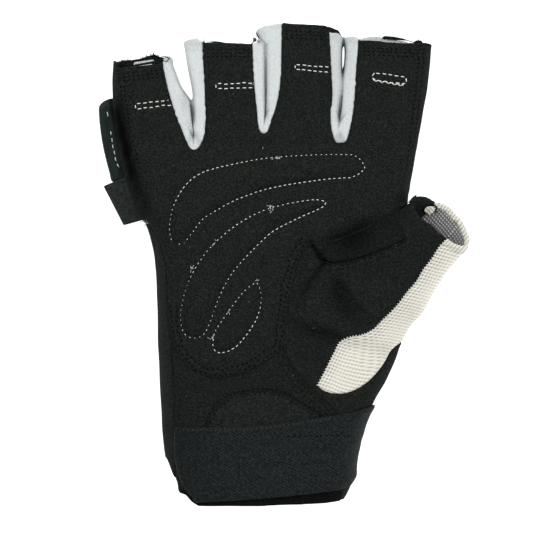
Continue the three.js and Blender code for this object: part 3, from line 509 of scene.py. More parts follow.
def thumb_place(X, Y, Z):
    """Where a point lies on the thumb: how far along, how far across and how far up from its middle line."""
    a = (X - TIP[0]) * THUMB_DIR[0] + (Y - TIP[1]) * THUMB_DIR[1]
    t = -(X - TIP[0]) * THUMB_DIR[1] + (Y - TIP[1]) * THUMB_DIR[0]
    z_at, rise_at = smooth(THUMB_LINE, "s", "z"), smooth(THUMB_LINE, "s", "rise")
    s = np.broadcast_to(a, np.broadcast(a, Z).shape).copy()
    for _ in range(4):
        ext = np.maximum(s, 0) * math.tan(math.radians(28))
        s = 0.35 * s + 0.65 * (a + (Z - z_at(s) - ext) * np.tan(np.radians(rise_at(s))))
    z0 = z_at(s) + np.maximum(s, 0) * math.tan(math.radians(28))
    return s, t - smooth(THUMB_LINE, "s", "t")(s), (Z - z0) / np.cos(np.radians(rise_at(s)))


def thumb_distance(s, u, v, grow):
    w = smooth(THUMB_LINE, "s", "width")(s) / 2 + grow
    h = smooth(THUMB_LINE, "s", "height")(s) / 2 + grow
    n = 2.3
    p, q = np.abs(u) / w, np.abs(v) / h
    f = np.maximum((p**n + q**n) ** (1 / n), 1e-3)
    g = f ** (1 - n) * np.sqrt((p ** (n - 1) / w) ** 2 + (q ** (n - 1) / h) ** 2)
    return (f - 1) / np.maximum(g, 1e-3)


# ---------------------------------------------------------------- the grid
NX, NY, NZ = (int(round((HIGH[i] - LOW[i]) / STEP)) + 1 for i in range(3))
GX = (LOW[0] + STEP * np.arange(NX)).astype(np.float32)[:, None, None]
GY = (LOW[1] + STEP * np.arange(NY)).astype(np.float32)[None, :, None]
GZ = (LOW[2] + STEP * np.arange(NZ)).astype(np.float32)[None, None, :]
PX2, PY2 = np.broadcast_arrays(GX[:, :, 0], GY[:, :, 0])
PX2, PY2 = PX2.astype(float), PY2.astype(float)


def along_line(rows, px, py):
    """Nearest place on a line of table rows: distance, side (positive to its left) and the columns there."""
    x, y = photo(rows["x"], rows["y"])
    best = np.full(px.shape, 1e9)
    side = np.zeros(px.shape)
    at = {c: np.zeros(px.shape) for c in ("depth", "left", "right")}
    for i in range(len(x) - 1):
        ex, ey = x[i + 1] - x[i], y[i + 1] - y[i]
        k = np.clip(((px - x[i]) * ex + (py - y[i]) * ey) / (ex * ex + ey * ey), 0, 1)
        d = np.hypot(px - x[i] - ex * k, py - y[i] - ey * k)
        near = d < best
        best = np.where(near, d, best)
        side = np.where(near, ex * (py - y[i]) - ey * (px - x[i]), side)
        for c in at:
            at[c] = np.where(near, rows[c][i] * (1 - k) + rows[c][i + 1] * k, at[c])
    return best, side, at


def fold_field():
    out = np.zeros(PX2.shape)
    for name, rows in FOLDS.items():
        d, side, at = along_line(rows, PX2, PY2)
        w = np.where(side > 0, at["left"], at["right"])
        power = 1.15 if name.endswith("sharp") else 2.0
        out += at["depth"] * np.exp(-((np.maximum(d - 0.2, 0) / w) ** power))
    return out


def shade_field():
    """Painted shade of the folds and seams on the palm's cloth, from 0 to about 0.4."""
    out = np.zeros(PX2.shape)
    for name, share in FOLD_SHADE.items():
        rows = FOLDS[name]
        d, side, at = along_line(rows, PX2, PY2)
        w = np.where(side > 0, at["left"], at["right"])
        out += share * at["depth"] / rows["depth"].max() * np.exp(-((np.maximum(d - 0.3, 0) / w) ** 1.6))
    for line, half, share in SEAM_SHADE:
        out += share * np.exp(-((line_distance(PX2, PY2, curve(line, 1.0)) / half) ** 2))
    return out


FOLD2 = fold_field().astype(np.float32)[:, :, None]
SHADE2 = shade_field()
UNEVEN = (0.22 * noise3(GX, GY, GZ * 1.5, 26.0, 5)).astype(np.float32)
S_, U_, V_ = (a.astype(np.float32) for a in thumb_place(GX, GY, GZ))


def rim_line(rows, z):
    """A rim's line across the photograph, as the Y that it has over each column of the grid."""
    x, y = low_photo(rows["x"], rows["y"], z)
    return np.interp(PX2[:, :1], x, y)[:, :, None]


def rim_distance(name):
    """How far a place is past a finger's rim, which runs from the back's line at the bottom to the palm's on top."""
    beside = np.zeros(PX2.shape)
    for n, m in gusset_flat.items():
        beside = np.maximum(beside, np.clip(0.5 - m[:, :, 0] / 1.6, 0, 1))
    k = np.clip((GZ - 3.5) / (11.0 - 6.5 * beside[:, :, None]), 0, 1)
    ragged = 0.17 * noise3(GX, 0 * GY, GZ * 0.6, 2.2, 40 + len(name) * 3, 2)
    back, palm = rim_line(RIMS[name]["back"], 2.5), rim_line(RIMS[name]["palm"], 17.0)
    return GY - (back * (1 - k) + palm * k + RIM_MORE + ragged * (1.15 - k + 0.8 * beside[:, :, None]))


def lean_together(name):
    """How far a finger's two sides reach towards their neighbours, so that the sides of a closed gap touch low down."""
    out = []
    for n in BESIDE[name]:
        if n is None:
            out.append(0.0)
            continue
        shut = np.clip((SHUT[n] - GY) / 3.0, 0, 1)
        open_by, shut_by = REACH[n]
        out.append((open_by * (1 - shut) + (shut_by + 0.45 * np.clip((9.5 - GZ) / 2.0, 0, 1)) * shut) * np.clip((GY - 40.0) / 4.0, 0, 1))
    return out


def forms(grow, open_ended):
    """The whole glove's form, grown by a distance; open-ended, it runs on past every rim."""
    crown = 0.7
    upper = np.clip((GZ - 11.0) / 4.0, 0, 1)
    push = FOLD2 * upper + UNEVEN
    hand = section_distance(HAND, GX, GY, GZ, grow, crown)
    hand = smax(hand, GY - (40.4 + grow), 2.0)
    if not open_ended:
        foot = np.interp(PX2[:, :1], *zip(*WRIST_FOOT))[:, :, None]
        hand = np.maximum(hand, foot - GY)
    total = None
    for name, rows in FINGERS.items():
        turns = [TURN if n else None for n in BESIDE[name]]
        tube = section_distance(rows, GX, GY, GZ, grow, crown * 0.7, turns, lean_together(name))
        tube = np.maximum(tube, 31.0 - grow - GY)
        if not open_ended:
            tube = np.maximum(tube, rim_distance(name))
        joined = smin(hand, tube, 3.0)
        shut = SHUT.get(BESIDE[name][0], 0.0)
        blend = (0.9 + 0.5 * np.clip((shut - GY) / 6, 0, 1)) * np.clip((GZ - 6) / 3, 0.06, 1)  # only over the upper half, so that the wall below keeps its thickness
        total = joined if total is None else smin(total, joined, blend)
    thumb = thumb_distance(S_, U_, V_, grow)
    if not open_ended:
        thumb = np.maximum(thumb, S_ - thumb_rim(U_, V_))
    thumb = np.maximum(thumb, -36.5 - grow - S_)
    total = smin(total, thumb, 5.0) + push
    if not open_ended or grow == 0.0:
        total = np.maximum(total, 0.05 - GZ)  # it rests flat on the table
    return total.astype(np.float32)


def thumb_rim(u, v):
    """How far along the thumb its rim is, all round: cut back on the side of the palm, towards the fingers."""
    k = np.clip((u + 1.5) / 11.0, 0, 1)
    corner = np.clip((-u - 8.8) / 3.8, 0, 1)  # the outer corner is rounded off
    return 0.35 - 0.10 * v + 0.18 * np.sin(u * 0.9) - 1.9 * k * k * (3 - 2 * k) - 1.15 * corner * corner


def flat_mask(polygon):
    return polygon_distance(PX2, PY2, polygon).astype(np.float32)[:, :, None]


def gusset_outline(tip, rows):
    y = np.arange(rows["y"][0], 90.0, 0.8)
    left, right = smooth(rows, "y", "left")(y), smooth(rows, "y", "right")(y)
    return np.vstack([np.column_stack([left, y])[::-1], [tip], np.column_stack([right, y])])


JAG = (0.17 * noise3(PX2, PY2, 0 * PX2, 1.9, 77, 2))[:, :, None].astype(np.float32)  # a cut edge is never quite straight
gusset_flat = {n: flat_mask(gusset_outline(*g)) + JAG for n, g in GUSSETS.items()}
OUTER = forms(0.0, False)
OUTER_OPEN = forms(0.0, True)
HOLLOW = forms(-WALL, True)
HOLLOW = np.maximum(HOLLOW, WALL - 0.15 - GZ)  # the back's wall never gets thinner than this
# Nor does the side's wall, where the wrist's line runs up the glove's side.
FOOT_SIDE = np.interp(GY, [y for _, y in WRIST_FOOT[7::-1]], [x for x, _ in WRIST_FOOT[7::-1]])
HOLLOW = np.maximum(HOLLOW, FOOT_SIDE + WALL - 0.15 - PX2[:, :1][:, :, None]).astype(np.float32)


# ---------------------------------------------------------------- seam masks, negative inside a panel
def side_seam():
    """Height of the seam between palm and back: level along the hand, rising with the thumb."""
    a = (PX2 - TIP[0]) * THUMB_DIR[0] + (PY2 - TIP[1]) * THUMB_DIR[1]
    t = -(PX2 - TIP[0]) * THUMB_DIR[1] + (PY2 - TIP[1]) * THUMB_DIR[0]
    rise = smooth(THUMB_LINE, "s", "z")(a) - 0.6 + np.maximum(a, 0) * math.tan(math.radians(28))
    along = np.clip((a + 34) / 22, 0, 1)
    half = smooth(THUMB_LINE, "s", "width")(a) / 2
    beside = np.clip((half + 3.5 - np.abs(t)) / 4.0, 0, 1)
    k = (along * along * (3 - 2 * along)) * beside
    return (SIDE_SEAM_Z * (1 - k) + rise * k).astype(np.float32)[:, :, None]


SEAM_Z = side_seam()
ABOVE = SEAM_Z - GZ
rev = lambda line: list(reversed(line))
KNIT_TOP = [*curve(KNIT_SEAM, 1.0), *curve(KNIT_HEM, 1.0)[1:], (80, -24), (80, 40), (68, 27)]
KNIT_UNDER = [*KNIT_BACK, (80, -34), (80, 60), (66, 48)]
THUMB_TOP = [
    *curve(THUMB_SEAM, 1.0), *curve(BALL_SEAM, 1.0)[1:], (20.0, -90), (60, -90), (60, -20), (80, 30), (60, 44), (45.2, 24.4),
    *rev(list(curve(WEB_FOLD, 1.0)))[:-1],
]
WEB_TOP = [*curve(WEB_FOLD[:-1], 1.0), (39.8, 12.4), *rev(list(curve(WEB_SEAM, 1.0)))[:-1]]
PALM_TOP = [
    *curve(PALM_HEM, 1.0), *rev(list(curve(THUMB_SEAM, 1.0)))[1:], *curve(WEB_FOLD, 1.0)[1:], (80, 24), (80, 100), (-80, 100),
    (-80, 17), (-45.6, 13.6), (-41.6, 7.0), (-39.6, 0.0), (-39.0, -8),
]
HEEL_TOP = [(-37.2, -37), (-36.6, -48), (-36.2, -90), (20.0, -90), *rev(list(curve(BALL_SEAM, 1.0))), *rev(list(curve(PALM_HEM, 1.0)))[1:]]

masks = {}
for n, m in gusset_flat.items():
    lowest = GUSSET_Z - (4.4 * np.clip((GY - 70.5) / 2.0, 0, 1) if n == "gusset_ring_middle" else 0.0)  # there it wraps round to the back at its top
    masks[n] = np.maximum(m, lowest - GZ)
masks["thumb_knit_back"] = np.minimum(np.maximum(flat_mask(KNIT_TOP), ABOVE), np.maximum(flat_mask(KNIT_UNDER), -ABOVE))
taken = np.minimum.reduce([np.broadcast_to(m, OUTER.shape) for m in masks.values()])
for n, outline in (("thumb_web_patch", WEB_TOP), ("heel_patch", HEEL_PATCH), ("palm_upper", PALM_TOP), ("palm_heel", HEEL_TOP), ("thumb_palm", THUMB_TOP)):
    own = np.maximum(np.maximum(flat_mask(outline), ABOVE), -taken)
    masks[n] = own
    taken = np.minimum(taken, own)
masks["back_panel"] = -taken


# ---------------------------------------------------------------- relief of the palm
def pad_relief():
    """Height of the padded cells, and the groove that their outline stitching pulls in."""
    out = np.zeros(PX2.shape)
    for rows in PADS.values():
        d = polygon_distance(PX2, PY2, pad_outline(rows))
        rise = np.clip(-d / 3.4, 0, 1)
        out += 1.15 * np.sin(rise * math.pi / 2) - 0.42 * np.exp(-((d / 0.75) ** 2))
    return out


def seam_relief(lines, depth, width):
    out = np.zeros(PX2.shape)
    for line in lines:
        out -= depth * np.exp(-((line_distance(PX2, PY2, line) / width) ** 2))
    return out


def double_row(line, near, far, side=1):
    c = curve(line, 1.0)
    return [offset_line(c, side * near), offset_line(c, side * far)]


PALM_ROWS = double_row(PALM_HEM, 1.1, 2.9) + double_row(THUMB_SEAM, -1.1, -2.8)
TOP_ZONE = np.clip((GZ - 11.0) / 3.0, 0, 1)
relief = {
    "palm_upper": pad_relief() + seam_relief(PALM_ROWS, 0.16, 0.6),
    "palm_heel": seam_relief([curve(HEEL_PATCH, 1.0)], 0.5, 1.1),
    "thumb_palm": seam_relief(double_row(THUMB_SEAM, 1.2, 2.9) + double_row(WEB_SEAM, -1.0, -2.4), 0.14, 0.6),
    "heel_patch": seam_relief([curve(HEEL_PATCH, 1.0)], 0.3, 1.1),
}
STAND = dict(palm_upper=0.25, thumb_web_patch=0.35, heel_patch=-0.05, thumb_palm=0.0, palm_heel=0.0)
SHADE_OF = dict(thumb_web_patch=0.17, palm_heel=0.06)  # panels made slightly darker all over


# ---------------------------------------------------------------- from the grid to meshes
CORNERS = np.array([(i, j, k) for i in (0, 1) for j in (0, 1) for k in (0, 1)])
EDGES = [(a, b) for a in range(8) for b in range(a + 1, 8) if np.abs(CORNERS[a] - CORNERS[b]).sum() == 1]


def surface(field, low=LOW, step=STEP, relax=2):
    """The surface where a field is zero, as quads with one point in each grid cell that it passes."""
    inside = field < 0
    count = sum(inside[i:inside.shape[0] - 1 + i, j:inside.shape[1] - 1 + j, k:inside.shape[2] - 1 + k].astype(np.uint8) for i, j, k in CORNERS)
    cells = np.argwhere((count > 0) & (count < 8))
    value = np.stack([field[cells[:, 0] + i, cells[:, 1] + j, cells[:, 2] + k] for i, j, k in CORNERS], axis=1).astype(float)
    total, hits = np.zeros((len(cells), 3)), np.zeros(len(cells))
    for a, b in EDGES:
        va, vb = value[:, a], value[:, b]
        cross = (va < 0) != (vb < 0)
        k = np.where(cross, va / np.where(cross, va - vb, 1), 0)[:, None]
        total += np.where(cross[:, None], CORNERS[a] + (CORNERS[b] - CORNERS[a]) * k, 0)
        hits += cross
    points = (cells + total / hits[:, None]) * step + np.array(low)
    number = np.full(count.shape, -1, dtype=np.int64)
    number[tuple(cells.T)] = np.arange(len(cells))
    quads = []
    for axis in range(3):
        b, c = (axis + 1) % 3, (axis + 2) % 3
        first = [slice(None)] * 3
        second = [slice(None)] * 3
        first[axis], second[axis] = slice(0, -1), slice(1, None)
        change = inside[tuple(first)] != inside[tuple(second)]
        e = np.argwhere(change)
        e = e[(e[:, b] > 0) & (e[:, c] > 0) & (e[:, b] < inside.shape[b] - 1) & (e[:, c] < inside.shape[c] - 1)]
        corner = []
        for db, dc in ((-1, -1), (0, -1), (0, 0), (-1, 0)):
            q = e.copy()
            q[:, b] += db
            q[:, c] += dc
            corner.append(number[tuple(q.T)])
        quad = np.stack(corner, axis=1)
        flip = ~inside[tuple(e.T)]
        quad[flip] = quad[flip][:, ::-1]
        quads.append(quad[(quad >= 0).all(axis=1)])
    quads = np.vstack(quads)
    for _ in range(relax):
        total, hits = np.zeros_like(points), np.zeros(len(points))
        for i in range(4):
            a, b = quads[:, i], quads[:, (i + 1) % 4]
            for x in range(3):
                total[:, x] += np.bincount(a, points[b, x], len(points)) + np.bincount(b, points[a, x], len(points))
            hits += np.bincount(a, minlength=len(points)) + np.bincount(b, minlength=len(points))
        points = points + 0.45 * (total / np.maximum(hits, 1)[:, None] - points)
    return points, quads


def biggest(points, quads, keep=0.02):
    """Only the connected pieces that hold at least a share of the quads."""
    label = np.arange(len(points))
    while True:
        low = label[quads].min(axis=1)
        new = label.copy()
        np.minimum.at(new, quads.ravel(), np.repeat(low, 4))
        new = new[new]
        if (new == label).all():
            break
        label = new
    names, inverse = np.unique(label, return_inverse=True)
    share = np.bincount(inverse[quads[:, 0]], minlength=len(names)) / len(quads)
    ok = share[inverse] >= keep
    quads = quads[ok[quads[:, 0]]]
    used = np.zeros(len(points), dtype=bool)
    used[quads.ravel()] = True
    renumber = np.cumsum(used) - 1
    return points[used], renumber[quads]


def new_piece(name, points, faces, material, uv=None, marks=None):
    me = bpy.data.meshes.new(name)
    me.from_pydata(to_frame(points).tolist(), [], np.asarray(faces).tolist() if isinstance(faces, np.ndarray) else faces)
    me.polygons.foreach_set("use_smooth", np.ones(len(me.polygons), dtype=bool))
    if uv is not None:
        layer = me.uv_layers.new(name="cloth")
        index = np.zeros(len(me.loops), dtype=np.int32)
        me.loops.foreach_get("vertex_index", index)
        layer.data.foreach_set("uv", np.asarray(uv, dtype=np.float32)[index].ravel())
    for mark, values in (marks or {}).items():
        me.attributes.new(mark, "FLOAT", "POINT").data.foreach_set("value", np.asarray(values, dtype=np.float32))
    me.update()
    ob = bpy.data.objects.new(name, me)
    bpy.context.scene.collection.objects.link(ob)
    me.materials.append(material)
    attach(ob, "root")
    return ob


def keep_fewer(ob, share):
    """Keep only a share of a piece's faces, where it is too finely divided."""
    fewer = ob.modifiers.new("fewer_faces", "DECIMATE")
    fewer.ratio = share
    bpy.context.view_layer.update()
    me = bpy.data.meshes.new_from_object(ob.evaluated_get(bpy.context.evaluated_depsgraph_get()))
    ob.modifiers.clear()
    old, ob.data = ob.data, me
    bpy.data.meshes.remove(old)


# ---------------------------------------------------------------- materials
class Nodes:
    """A small helper that adds and links shader nodes."""

    def __init__(self, name, color, roughness, sheen=0.0, sheen_roughness=0.5, specular=0.35):
        self.material = bpy.data.materials.new(name)
        self.material.use_nodes = True
        self.tree = self.material.node_tree
        self.shader = self.tree.nodes["Principled BSDF"]
        self.shader.inputs["Base Color"].default_value = (*color, 1)
        self.shader.inputs["Roughness"].default_value = roughness
        self.shader.inputs["Sheen Weight"].default_value = sheen
        self.shader.inputs["Sheen Roughness"].default_value = sheen_roughness
        self.shader.inputs["Specular IOR Level"].default_value = specular

    def add(self, kind, **settings):
        node = self.tree.nodes.new(kind)
        for key, value in settings.items():
            if hasattr(node, key):
                setattr(node, key, value)
            else:
                node.inputs[key].default_value = value
        return node

    def link(self, out, into):
        self.tree.links.new(out, into)

    def where(self, kind="Object"):
        return self.add("ShaderNodeTexCoord").outputs[kind]

    def mark(self, name):
        """A number that the mesh carries at each point."""
        return self.add("ShaderNodeAttribute", attribute_name=name).outputs["Fac"]

    def noise(self, vector, scale, detail=3.0, rough=0.55):
        n = self.add("ShaderNodeTexNoise")
        n.inputs["Scale"].default_value = scale
        n.inputs["Detail"].default_value = detail
        n.inputs["Roughness"].default_value = rough
        self.link(vector, n.inputs["Vector"])
        return n.outputs["Fac"]

    def math(self, op, a, b=None, clamp=False):
        n = self.add("ShaderNodeMath", operation=op, use_clamp=clamp)
        for i, v in enumerate((a, b)):
            if v is None:
                continue
            if hasattr(v, "is_linked"):
                self.link(v, n.inputs[i])
            else:
                n.inputs[i].default_value = v
        return n.outputs[0]

    def ramp(self, factor, stops):
        n = self.add("ShaderNodeValToRGB")
        while len(n.color_ramp.elements) < len(stops):
            n.color_ramp.elements.new(0.5)
        for e, (at, c) in zip(n.color_ramp.elements, stops):
            e.position = at
            e.color = (*c, 1) if len(c) == 3 else c
        self.link(factor, n.inputs["Fac"])
        return n.outputs["Color"]

    def mix(self, factor, a, b, blend="MIX"):
        n = self.add("ShaderNodeMix", data_type="RGBA", blend_type=blend)
        for i, v in ((0, factor), (6, a), (7, b)):
            if hasattr(v, "is_linked"):
                self.link(v, n.inputs[i])
            else:
                n.inputs[i].default_value = v if i == 0 else (*v, 1)
        return n.outputs[2]

    def bump(self, height, strength, distance):
        n = self.add("ShaderNodeBump")
        n.inputs["Strength"].default_value = strength
        n.inputs["Distance"].default_value = distance
        self.link(height, n.inputs["Height"])
        self.link(n.outputs["Normal"], self.shader.inputs["Normal"])

    def color(self, socket):
        self.link(socket, self.shader.inputs["Base Color"])

    def rough(self, socket):
        self.link(socket, self.shader.inputs["Roughness"])


def tint(c, k):
    return tuple(min(1.0, x * k) for x in c)


def suede(name, color, warm=0.0):
    m = Nodes(name, color, 0.95, sheen=0.003, sheen_roughness=0.6, specular=0.03)
    w = m.where()
    fine, grain, speck, cloud = m.noise(w, 3300, 2), m.noise(w, 1750, 3, 0.7), m.noise(w, 1250, 1), m.noise(w, 75, 3)
    brown = (color[0] * (3.3 + warm), color[1] * (2.3 + warm * 0.6), color[2] * 1.7)
    c = m.ramp(grain, [(0.34, tint(color, 0.36)), (0.50, color), (0.64, tint(color, 2.3))])
    c = m.mix(m.math("MULTIPLY", m.math("SUBTRACT", speck, 0.58, True), 5.0, True), c, brown)
    c = m.mix(m.math("MULTIPLY", cloud, 0.35), c, tint(color, 1.25))
    # painted shade: the shade mark darkens the colour in folds, along seams and where the light is kept off, besides
    # the panels made darker all over
    c = m.mix(m.mark("shade"), c, tint(color, 0.10))
    m.color(c)
    lit = m.math("SUBTRACT", 1.0, m.mark("shade"), True)
    m.link(m.math("MULTIPLY", lit, 0.03), m.shader.inputs["Specular IOR Level"])
    m.link(m.math("MULTIPLY", lit, 0.003), m.shader.inputs["Sheen Weight"])
    m.rough(m.math("ADD", m.math("MULTIPLY", fine, 0.1), 0.88))
    m.bump(m.math("ADD", m.math("MULTIPLY", fine, 0.6), grain), 0.7, 0.00028)
    return m.material


def lycra(name, color):
    """Brushed stretch cloth: a fine grey grain, with painted shade in dark lines where it is creased or sewn and in its
    soft shaded places.
    """
    m = Nodes(name, color, 0.8, sheen=0.04, sheen_roughness=0.5, specular=0.1)
    w = m.where()
    cloud, fine, grain = m.noise(w, 130, 2), m.noise(w, 2600, 2), m.noise(w, 1500, 3, 0.65)
    c = m.ramp(grain, [(0.34, tint(color, 0.86)), (0.52, color), (0.70, tint(color, 1.10))])
    c = m.mix(m.math("MULTIPLY", cloud, 0.4), c, tint(color, 0.90))
    # painted shade: the shade mark and the crease lines darken the colour
    c = m.mix(m.mark("shade"), c, tint(color, 0.20))
    across = m.math("DIVIDE", m.mark("crease"), 0.24)
    line = m.math("POWER", 2.718, m.math("MULTIPLY", m.math("MULTIPLY", across, across), -1.0))
    c = m.mix(m.math("MULTIPLY", line, m.mark("crease_dark"), True), c, tint(color, 0.08))
    m.color(c)
    weave = m.add("ShaderNodeTexWave", wave_type="BANDS", bands_direction="DIAGONAL")
    weave.inputs["Scale"].default_value = 950
    m.link(w, weave.inputs["Vector"])
    m.bump(m.math("ADD", m.math("MULTIPLY", weave.outputs["Fac"], 0.5), m.math("ADD", fine, grain)), 0.4, 0.00016)
    return m.material


def uv_axes(m):
    sep = m.add("ShaderNodeSeparateXYZ")
    m.link(m.where("UV"), sep.inputs[0])
    return sep.outputs[0], sep.outputs[1]


def wave_of(m, value, pitch):
    """0 at the edge and 1 in the middle of each repeat of a pitch."""
    ang = m.math("MULTIPLY", value, 2 * math.pi / pitch)
    return m.math("MULTIPLY", m.math("ADD", m.math("SINE", ang), 1.0), 0.5)


def knit(name, color):
    """Open rib knit: rounded cords round the thumb, parted by thin dark lines, with small holes near its dark seam.

    Its coordinates count cords (v) and wales (u), so one repeat is 1 along both.
    """
    m = Nodes(name, color, 0.85, sheen=0.03, sheen_roughness=0.5, specular=0.12)
    u, v = uv_axes(m)
    w = m.where()
    wobble = m.math("MULTIPLY", m.math("SUBTRACT", m.noise(w, 160, 2), 0.5), 0.45)
    cords = wave_of(m, m.math("ADD", v, wobble), 1.0)
    wales = wave_of(m, m.math("ADD", u, m.math("MULTIPLY", wobble, 0.8)), 1.0)
    low_cord, low_wale = m.math("SUBTRACT", 1.0, cords), m.math("SUBTRACT", 1.0, wales)
    inside, seam, hem = m.mark("inside"), m.mark("seam"), m.mark("hem")
    worn = m.noise(w, 110, 2)
    line = m.math("MULTIPLY", m.math("POWER", low_cord, 2.2), m.math("ADD", m.math("MULTIPLY", worn, 0.22), 0.03))
    notch = m.math("MULTIPLY", m.math("POWER", low_wale, 2.0), m.math("ADD", m.math("MULTIPLY", seam, 0.10), 0.04))
    hole = m.math("MULTIPLY", m.math("MULTIPLY", m.math("POWER", low_cord, 1.5), m.math("POWER", low_wale, 1.7)), m.math("ADD", m.math("MULTIPLY", seam, 0.32), 0.14))
    outer = m.math("ADD", m.math("ADD", line, notch), hole, True)
    across = m.math("MULTIPLY", m.math("POWER", low_wale, 1.8), 0.36)
    depth = m.math("ADD", m.math("MULTIPLY", outer, m.math("SUBTRACT", 1.0, hem)), m.math("MULTIPLY", across, hem), True)
    shade = m.ramp(depth, [(0.0, tint(color, 1.06)), (0.30, (color[0] * 0.66, color[1] * 0.66, color[2] * 0.66)), (0.62, (color[0] * 0.37, color[1] * 0.385, color[2] * 0.42)), (1.0, (color[0] * 0.14, color[1] * 0.15, color[2] * 0.18))])
    dots = m.math("MULTIPLY", m.math("POWER", cords, 1.5), m.math("POWER", wales, 1.5), True)
    # painted shade: the inside of the thumb, seen through its mouth, is drawn much darker, with lighter dots
    within = m.ramp(dots, [(0.02, (color[0] * 0.19, color[1] * 0.20, color[2] * 0.22)), (0.40, (color[0] * 0.41, color[1] * 0.43, color[2] * 0.47)), (0.95, (color[0] * 0.80, color[1] * 0.83, color[2] * 0.89))])
    shade = m.mix(m.mark("shade"), shade, tint(color, 0.30))
    m.color(m.mix(inside, shade, within))
    m.bump(m.math("SUBTRACT", m.math("ADD", m.math("MULTIPLY", cords, 0.7), m.math("MULTIPLY", wales, 0.3)), m.math("MULTIPLY", hole, 0.8)), 0.6, 0.0004)
    return m.material


def elastic(name, color):
    """Woven elastic: fine cords across the band with a slanted twill over them."""
    m = Nodes(name, color, 0.8, sheen=0.01, sheen_roughness=0.5, specular=0.1)
    u, v = uv_axes(m)
    w = m.where()
    fuzz, grain, cloud = m.noise(w, 2600, 2), m.noise(w, 1300, 3, 0.7), m.noise(w, 60, 2)
    wob = m.math("MULTIPLY", m.math("SUBTRACT", m.noise(w, 300, 3), 0.5), 0.9)
    slant = wave_of(m, m.math("ADD", m.math("ADD", v, m.math("MULTIPLY", u, 0.62)), m.math("MULTIPLY", wob, 2.2)), 0.98)
    cord = wave_of(m, m.math("ADD", u, m.math("MULTIPLY", wob, 0.9)), 0.72)
    broken = m.math("MULTIPLY", slant, m.noise(w, 420, 2))
    height = m.math("ADD", m.math("MULTIPLY", broken, 0.66), m.math("MULTIPLY", cord, 0.14))
    height = m.math("ADD", height, m.math("MULTIPLY", m.math("SUBTRACT", grain, 0.40), 2.1))
    c = m.ramp(height, [(0.05, tint(color, 0.25)), (0.40, color), (0.80, (color[0] * 2.7, color[1] * 2.8, color[2] * 3.3))])
    c = m.mix(m.math("MULTIPLY", cloud, 0.3), c, tint(color, 1.15))
    c = m.mix(m.mark("shade"), c, tint(color, 0.10))
    m.color(c)
    m.bump(m.math("ADD", height, m.math("MULTIPLY", fuzz, 0.5)), 0.7, 0.0003)
    return m.material


def leather(name, color):
    m = Nodes(name, color, 0.45, specular=0.10)
    m.shader.inputs["Specular Tint"].default_value = (0.78, 1.0, 0.9, 1)
    w = m.where()
    cell = m.add("ShaderNodeTexVoronoi", feature="DISTANCE_TO_EDGE")
    cell.inputs["Scale"].default_value = 1500
    m.link(w, cell.inputs["Vector"])
    fine = m.noise(w, 2400, 2)
    # painted shadow: where the palm's edge shades the strap, its colour is darker and its surface rougher and less
    # shiny
    dim = m.mark("shade")
    c = m.ramp(m.noise(w, 500, 3), [(0.3, tint(color, 0.7)), (0.7, tint(color, 1.4))])
    c = m.mix(dim, c, tint(color, 0.15))
    # the worn mark lightens the edges: partly wear, partly a painted highlight
    m.color(m.mix(m.mark("worn"), c, tint(color, 4.0)))
    m.rough(m.math("ADD", m.math("ADD", m.math("MULTIPLY", fine, 0.2), 0.34), m.math("MULTIPLY", dim, 0.4)))
    m.link(m.math("MULTIPLY", m.math("SUBTRACT", 1.0, dim), 0.10), m.shader.inputs["Specular IOR Level"])
    m.bump(m.math("ADD", m.math("MULTIPLY", cell.outputs["Distance"], 2.0), m.math("MULTIPLY", fine, 0.4)), 0.25, 0.0002)
    return m.material


def woven_tape(name, color):
    m = Nodes(name, color, 0.75, sheen=0.005, specular=0.05)
    u, v = uv_axes(m)
    over = wave_of(m, v, 0.34)
    warp = wave_of(m, u, 0.42)
    height = m.math("ADD", m.math("MULTIPLY", over, 0.7), m.math("MULTIPLY", warp, 0.3))
    w = m.where()
    mottle = m.math("MULTIPLY", m.math("SUBTRACT", m.noise(w, 1000, 3, 0.7), 0.5), 3.0)
    height = m.math("ADD", m.math("MULTIPLY", height, 0.6), m.math("ADD", mottle, 0.2), True)
    c = m.ramp(height, [(0.1, tint(color, 0.45)), (0.5, color), (0.95, tint(color, 1.9))])
    m.color(m.mix(m.math("MULTIPLY", m.noise(w, 90, 2), 0.6), c, tint(color, 1.3)))
    m.bump(height, 0.5, 0.00012)
    return m.material


def thread(name, color, dull=False):
    m = Nodes(name, color, 0.9 if dull else 0.6, sheen=0.0 if dull else 0.1, specular=0.03 if dull else 0.3)
    w = m.where()
    twist = m.add("ShaderNodeTexWave", wave_type="BANDS", bands_direction="DIAGONAL")
    twist.inputs["Scale"].default_value = 900
    m.link(w, twist.inputs["Vector"])
    m.color(m.ramp(twist.outputs["Fac"], [(0.2, tint(color, 0.82)), (0.8, tint(color, 1.08))]))
    m.bump(twist.outputs["Fac"], 0.4, 0.0001)
    return m.material


MAT = {
    "palm": suede("palm_suede", LOOK["palm"], 0.15),
    "heel": suede("heel_suede", tint(LOOK["palm"], 1.14), 0.1),
    "back": suede("back_stretch_cloth", LOOK["back"], -2.0),
    "lycra": lycra("gusset_stretch_cloth", LOOK["lycra"]),
    "knit": knit("thumb_rib_knit", LOOK["knit"]),
    "elastic": elastic("woven_elastic", LOOK["elastic"]),
    "strap": leather("smooth_strap_hide", LOOK["strap"]),
    "tab": woven_tape("plain_woven_tab", LOOK["tab"]),
    "pale_thread": thread("pale_thread", LOOK["pale_thread"]),
    "dark_thread": thread("dark_thread", LOOK["dark_thread"], True),
    "hem_thread": thread("hem_thread", LOOK["hem_thread"], True),
    "lining": lycra("pale_lining", LOOK["lining"]),
}

